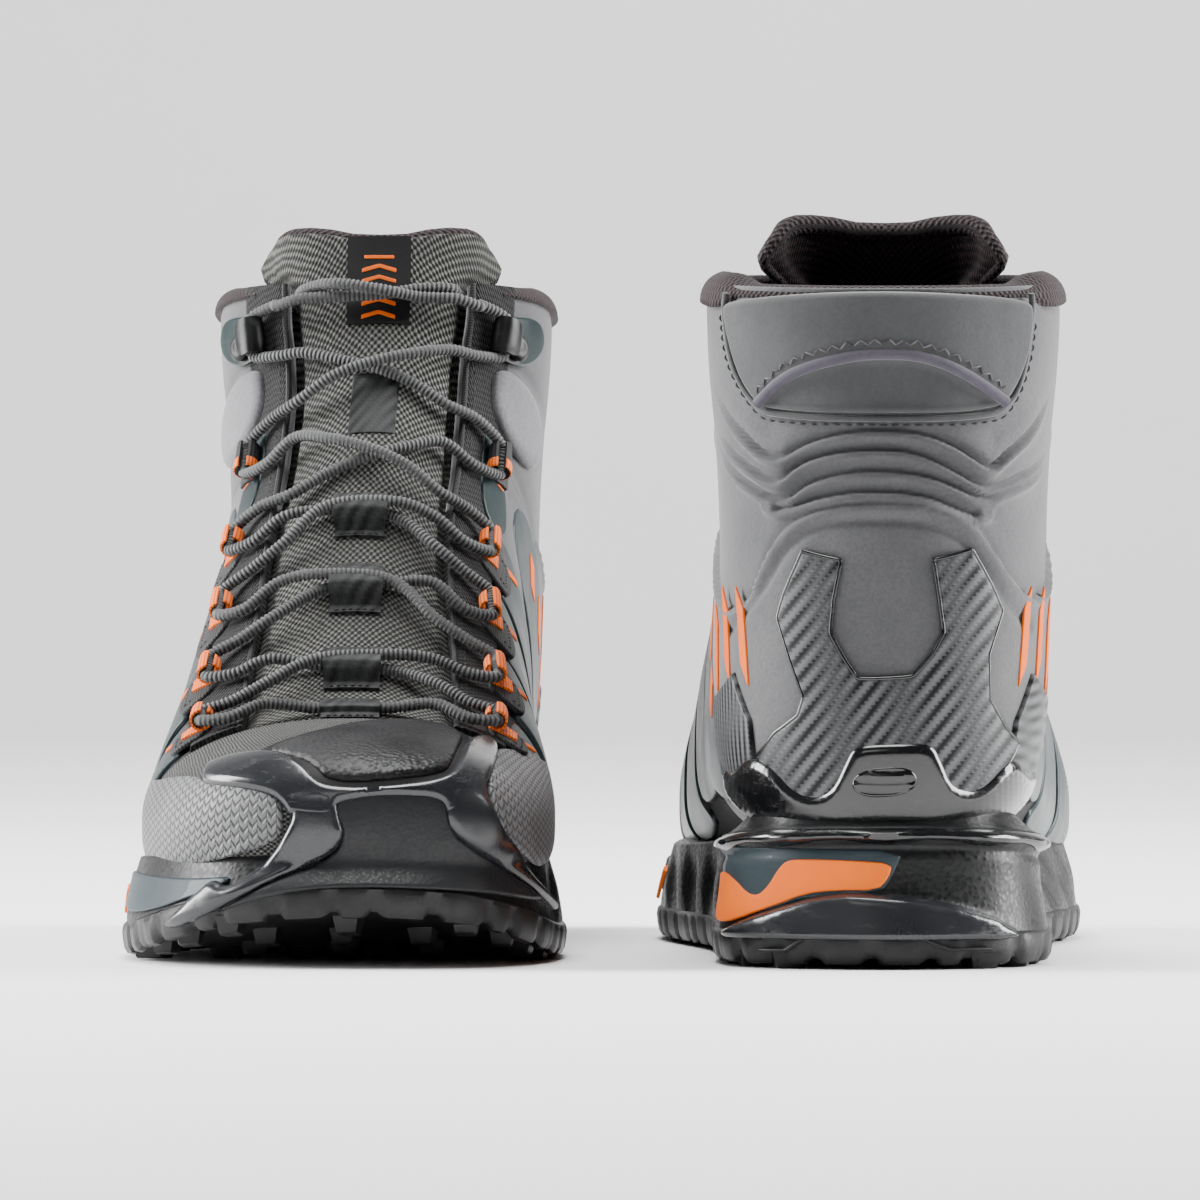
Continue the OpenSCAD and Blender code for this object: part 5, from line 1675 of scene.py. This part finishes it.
def midsole_inlays():
    c = WallChart(lean)
    teal = [(-74, 25), (-70, 30), (-62, 30.8), (-49, 30.6), (-23, 30.6), (5, 30.6), (2, 24), (-1, 19.6),
            (-20, 19), (-36, 14), (-60, 12)]
    build("teal_inlay", panel(c, teal, height=.5, radius=.5, base=-.5, spacing=1.4, edge=.8, floor=.05,
                              smooth=1), PAINTS["tealfoam"])
    orange = [(2, 27.2), (-9, 27.8), (-23, 28.0), (-28, 27.6), (-31, 25), (-34, 21), (-38, 18.4), (-43, 19),
              (-50, 22), (-60, 24), (-76, 23.5), (-92, 20), (-92, 15), (-74, 12), (-60, 11), (-48, 11.8),
              (-31, 16), (-22, 19.2), (-13, 20.2), (-2, 20.2), (1, 23.5)]
    accent = panel(c, orange, height=.6, radius=.5, base=-.5, spacing=1.4, edge=.8, floor=.45, smooth=1)
    build("midsole_accent", accent, PAINTS["orangefoam"], ["midsole_accent"])
    wedge = [(-235, 22.5), (-262, 22.8), (-292, 22.4), (-322, 22.6), (-336, 23.6), (-330, 20), (-320, 17.5),
             (-305, 14.2), (-280, 12.5), (-258, 14), (-240, 13)]
    build("forefoot_inlay", panel(c, wedge, height=.7, radius=.6, base=-.5, spacing=1.6, edge=.8,
                                  floor=.5), PAINTS["tealfoam"])
    chevron = [(-232, 20.5), (-240, 13.5), (-250, 19.5), (-252, 18), (-240, 11), (-229, 19)]
    build("forefoot_mark", panel(c, chevron, height=.5, radius=.3, base=-.5, spacing=1.4, edge=.6,
                                 floor=1.3, smooth=0), PAINTS["orangefoam"])


def heel_lip():
    ss = np.linspace(-84, 84, 29)
    top = mid_top(rim(ss)[0][:, 1]) - .4
    deep = 3.6 + .7 * np.cos(ss * 2 * math.pi / LIP_WAVE)
    line = [*zip(ss, top), *[*zip(ss, top - deep)][::-1]]
    build("heel_lip", panel(WallChart(lean), line, height=.8, radius=1.3, base=-.5, spacing=1.2, edge=.8,
                            floor=.1, smooth=0), PAINTS["tpu"])


def heel_crescent():
    crest = [(-57, 9.3), (-48, 11), (-39, 13.6), (-31, 15.6), (-19, 18.8), (-9, 19.9), (5, 19), (18, 17),
             (30, 13.6), (38, 10), (40, 9.2)]
    low = [(s, 7.6) for s in (34, 18, 0, -18, -36, -52)]
    shape = panel(WallChart(lean), crest + low, height=1.1, radius=1.5, base=-.5, spacing=1.3, edge=.8,
                  floor=.1, smooth=1)
    build("heel_crescent", shape, PAINTS["bumper"])


# Rows of lugs under the sole: y, and how many; then a lug's corners and its rings as (radius, height).
LUG_ROWS = [(12, 3), (26, 5), (42, 5), (58, 6), (74, 6), (90, 6), (106, 6), (122, 5), (138, 4), (216, 4),
            (232, 4), (248, 4), (264, 4), (280, 4), (293, 3)]
LUG_CORNERS = np.radians([15, 60, 100, 150, 200, 245, 290, 345])
LUG_RINGS = ((5.9, 4.2), (5.1, 2.2), (4.6, .55), (4.1, .06), (3.2, .0), (1.5, .35))


def outsole_wall():
    """The sole's low edge, with notches that follow two beats round it."""
    s = np.arange(0, AROUND, 1.5)
    y = rim(s)[0][:, 1]
    beat = np.sin(s * 2 * math.pi * 53 / AROUND) + .7 * np.sin(s * 2 * math.pi * 87 / AROUND + 1)
    notch = 1 - (.5 + .5 * np.tanh(3.4 * (beat + .55)))
    levels = [(1.0, -2.3), (1.35, -.6), (2.7, .2), (4.8, .6), (7.1, .8), (8.6, .5), (9.3, -.2), (9.5, -1.6)]
    rows = []
    for i, (z, off) in enumerate(levels):
        lift = spring(y) + 1.9 * notch * max(0, 1 - i / 4.5)
        rows.append(wall(s, z + lift, off - .5 - .9 * notch * (i < 5)))
    return sole_block(np.stack(rows), s)


def lug(x, y, rng):
    """One uneven eight-sided lug, standing square to the rising sole."""
    r = np.array([1., .86, 1.05, .9, 1., .86, 1.05, .9]) * (1 + .08 * rng.rand(8))
    angle = LUG_CORNERS + rng.rand() * .6 + (math.pi if y > 200 else 0)
    slope = 2 * TOE_SPRING * max(0, SPRING_START - y) / SPRING_START ** 2
    rings = []
    for size, h in LUG_RINGS:
        size *= .74 if y < 50 else 1
        qx, qy = x + size * r * np.cos(angle), y + size * .95 * r * np.sin(angle)
        rings.append(np.stack([qx, qy, h + spring(y) - slope * (qy - y)], 1))
    g = np.stack(rings)
    g[..., 2] = np.maximum(g[..., 2], 0)
    return g


def outsole():
    shape = outsole_wall()
    rng = np.random.RandomState(4)
    faces = [f[:, ::-1] for f in [quads(6, 8, 0, True)] + end_caps(6, 8)]
    for y, count in LUG_ROWS:
        left = np.interp(y, SOLE[:, 0], SOLE[:, 1]) + 7.6
        right = np.interp(y, SOLE[:, 0], SOLE[:, 2]) - 7.6
        for x in np.linspace(left, right, count):
            shape.add(lug(x, y, rng), faces)
    build("outsole", shape, PAINTS["rubber"], ["outsole"], sharp=38)
    line = resample([(-34, 4.6), (-26, 4.8), (-20, 8.6), (6, 9.4), (16, 5.2), (28, 5.2)], 1.)
    arch = tube(wall(line[:, 0], line[:, 1], 1.2), .5, 8)
    build("heel_arch", arch, PAINTS["rubber"])


def hidden_parts():
    """The two CAD nodes that stay as they are get their finish."""
    for side in SIDES:
        for node, paint in (("shank", "plastic"), ("lasting_board", "board")):
            o = next(x for x in bpy.context.scene.objects if x.get("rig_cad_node") == f"{side}_{node}")
            o.data.materials.clear()
            o.data.materials.append(PAINTS[paint])


# ---------------------------------------------------------------- camera, light and floor
def camera():
    """A long lens from in front, low and turned a little, as in the photo; metres."""
    turned = math.radians(1.5)
    x, y, height = -.0037, -2.6525, .102
    data = bpy.data.cameras.new("Camera")
    data.lens, data.sensor_width = 294.75, 36
    data.shift_y = -.0258
    data.clip_end = 50
    cam = bpy.data.objects.new("Camera", data)
    cam.location = (x * math.cos(turned) - y * math.sin(turned), x * math.sin(turned) + y * math.cos(turned),
                    height)
    cam.rotation_euler = (math.radians(90), 0, turned)
    bpy.context.scene.collection.objects.link(cam)
    bpy.context.scene.camera = cam


def lamp(name, where, size, power, aim=(0, 0, .08)):
    """A rectangular lamp that points at aim; metres and watts."""
    data = bpy.data.lights.new(name, "AREA")
    data.shape, data.size, data.size_y = "RECTANGLE", size[0], size[1]
    data.energy = power
    o = bpy.data.objects.new(name, data)
    o.location = where
    o.rotation_euler = (Vector(aim) - Vector(where)).to_track_quat("-Z", "Y").to_euler()
    bpy.context.scene.collection.objects.link(o)


def backdrop():
    """A floor that curves up into a wall behind the boots."""
    front, foot, radius = -4.5, 3.4, 1.2
    angle = np.linspace(.1, math.pi / 2, 16)
    floor = spread(front, foot, .6)
    ys = np.concatenate([floor, foot + radius * np.sin(angle), [foot + radius]])
    zs = np.concatenate([0 * floor, radius - radius * np.cos(angle), [5]])
    pts = np.stack(np.broadcast_arrays(np.linspace(-5, 5, 9)[None, :], ys[:, None], zs[:, None]), -1)
    mesh = bpy.data.meshes.new("Backdrop")
    mesh.from_pydata(pts.reshape(-1, 3).tolist(), [], quads(len(ys), 9).tolist())
    mesh.polygons.foreach_set("use_smooth", np.ones(len(mesh.polygons), bool))
    w = Paint("Backdrop")
    blotches = w.grey(w.noise(3, 2), .3, .7)
    mesh.materials.append(w.done(w.mix(blotches, srgb(240, 240, 240), srgb(238, 238, 238)), .9))
    o = bpy.data.objects.new("Backdrop", mesh)
    bpy.context.scene.collection.objects.link(o)


def studio():
    backdrop()
    world = bpy.data.worlds.new("Studio")
    world.use_nodes = True
    colour, strength = world.node_tree.nodes["Background"].inputs[:2]
    colour.default_value, strength.default_value = (1, 1, 1, 1), .08
    bpy.context.scene.world = world
    lamp("Left", (-1.7, .14, .7), (.8, 1.5), 128)
    lamp("Right", (1.7, .14, .7), (.8, 1.5), 112)
    lamp("Top", (-.1, .0, 2.0), (1.5, .8), 70)
    lamp("Front", (-.5, -2.3, 1.5), (.9, .7), 6)
    lamp("Backdrop", (0, 1.9, 2.6), (4.6, 1), 150, aim=(0, 4.3, .6))


camera()
studio()
base_cloth()
ankle_shell()
lining()
collar()
tongue()
tongue_binding()
tongue_trim()
keepers()
eyestays()
ankle_patches()
quarter_overlays()
toe()
heel_counter()
pull_flap()
heel_cup()
rear_sides()
loops()
ankle_loops()
hooks()
laces()
midsole()
midsole_inlays()
heel_lip()
heel_crescent()
outsole()
hidden_parts()
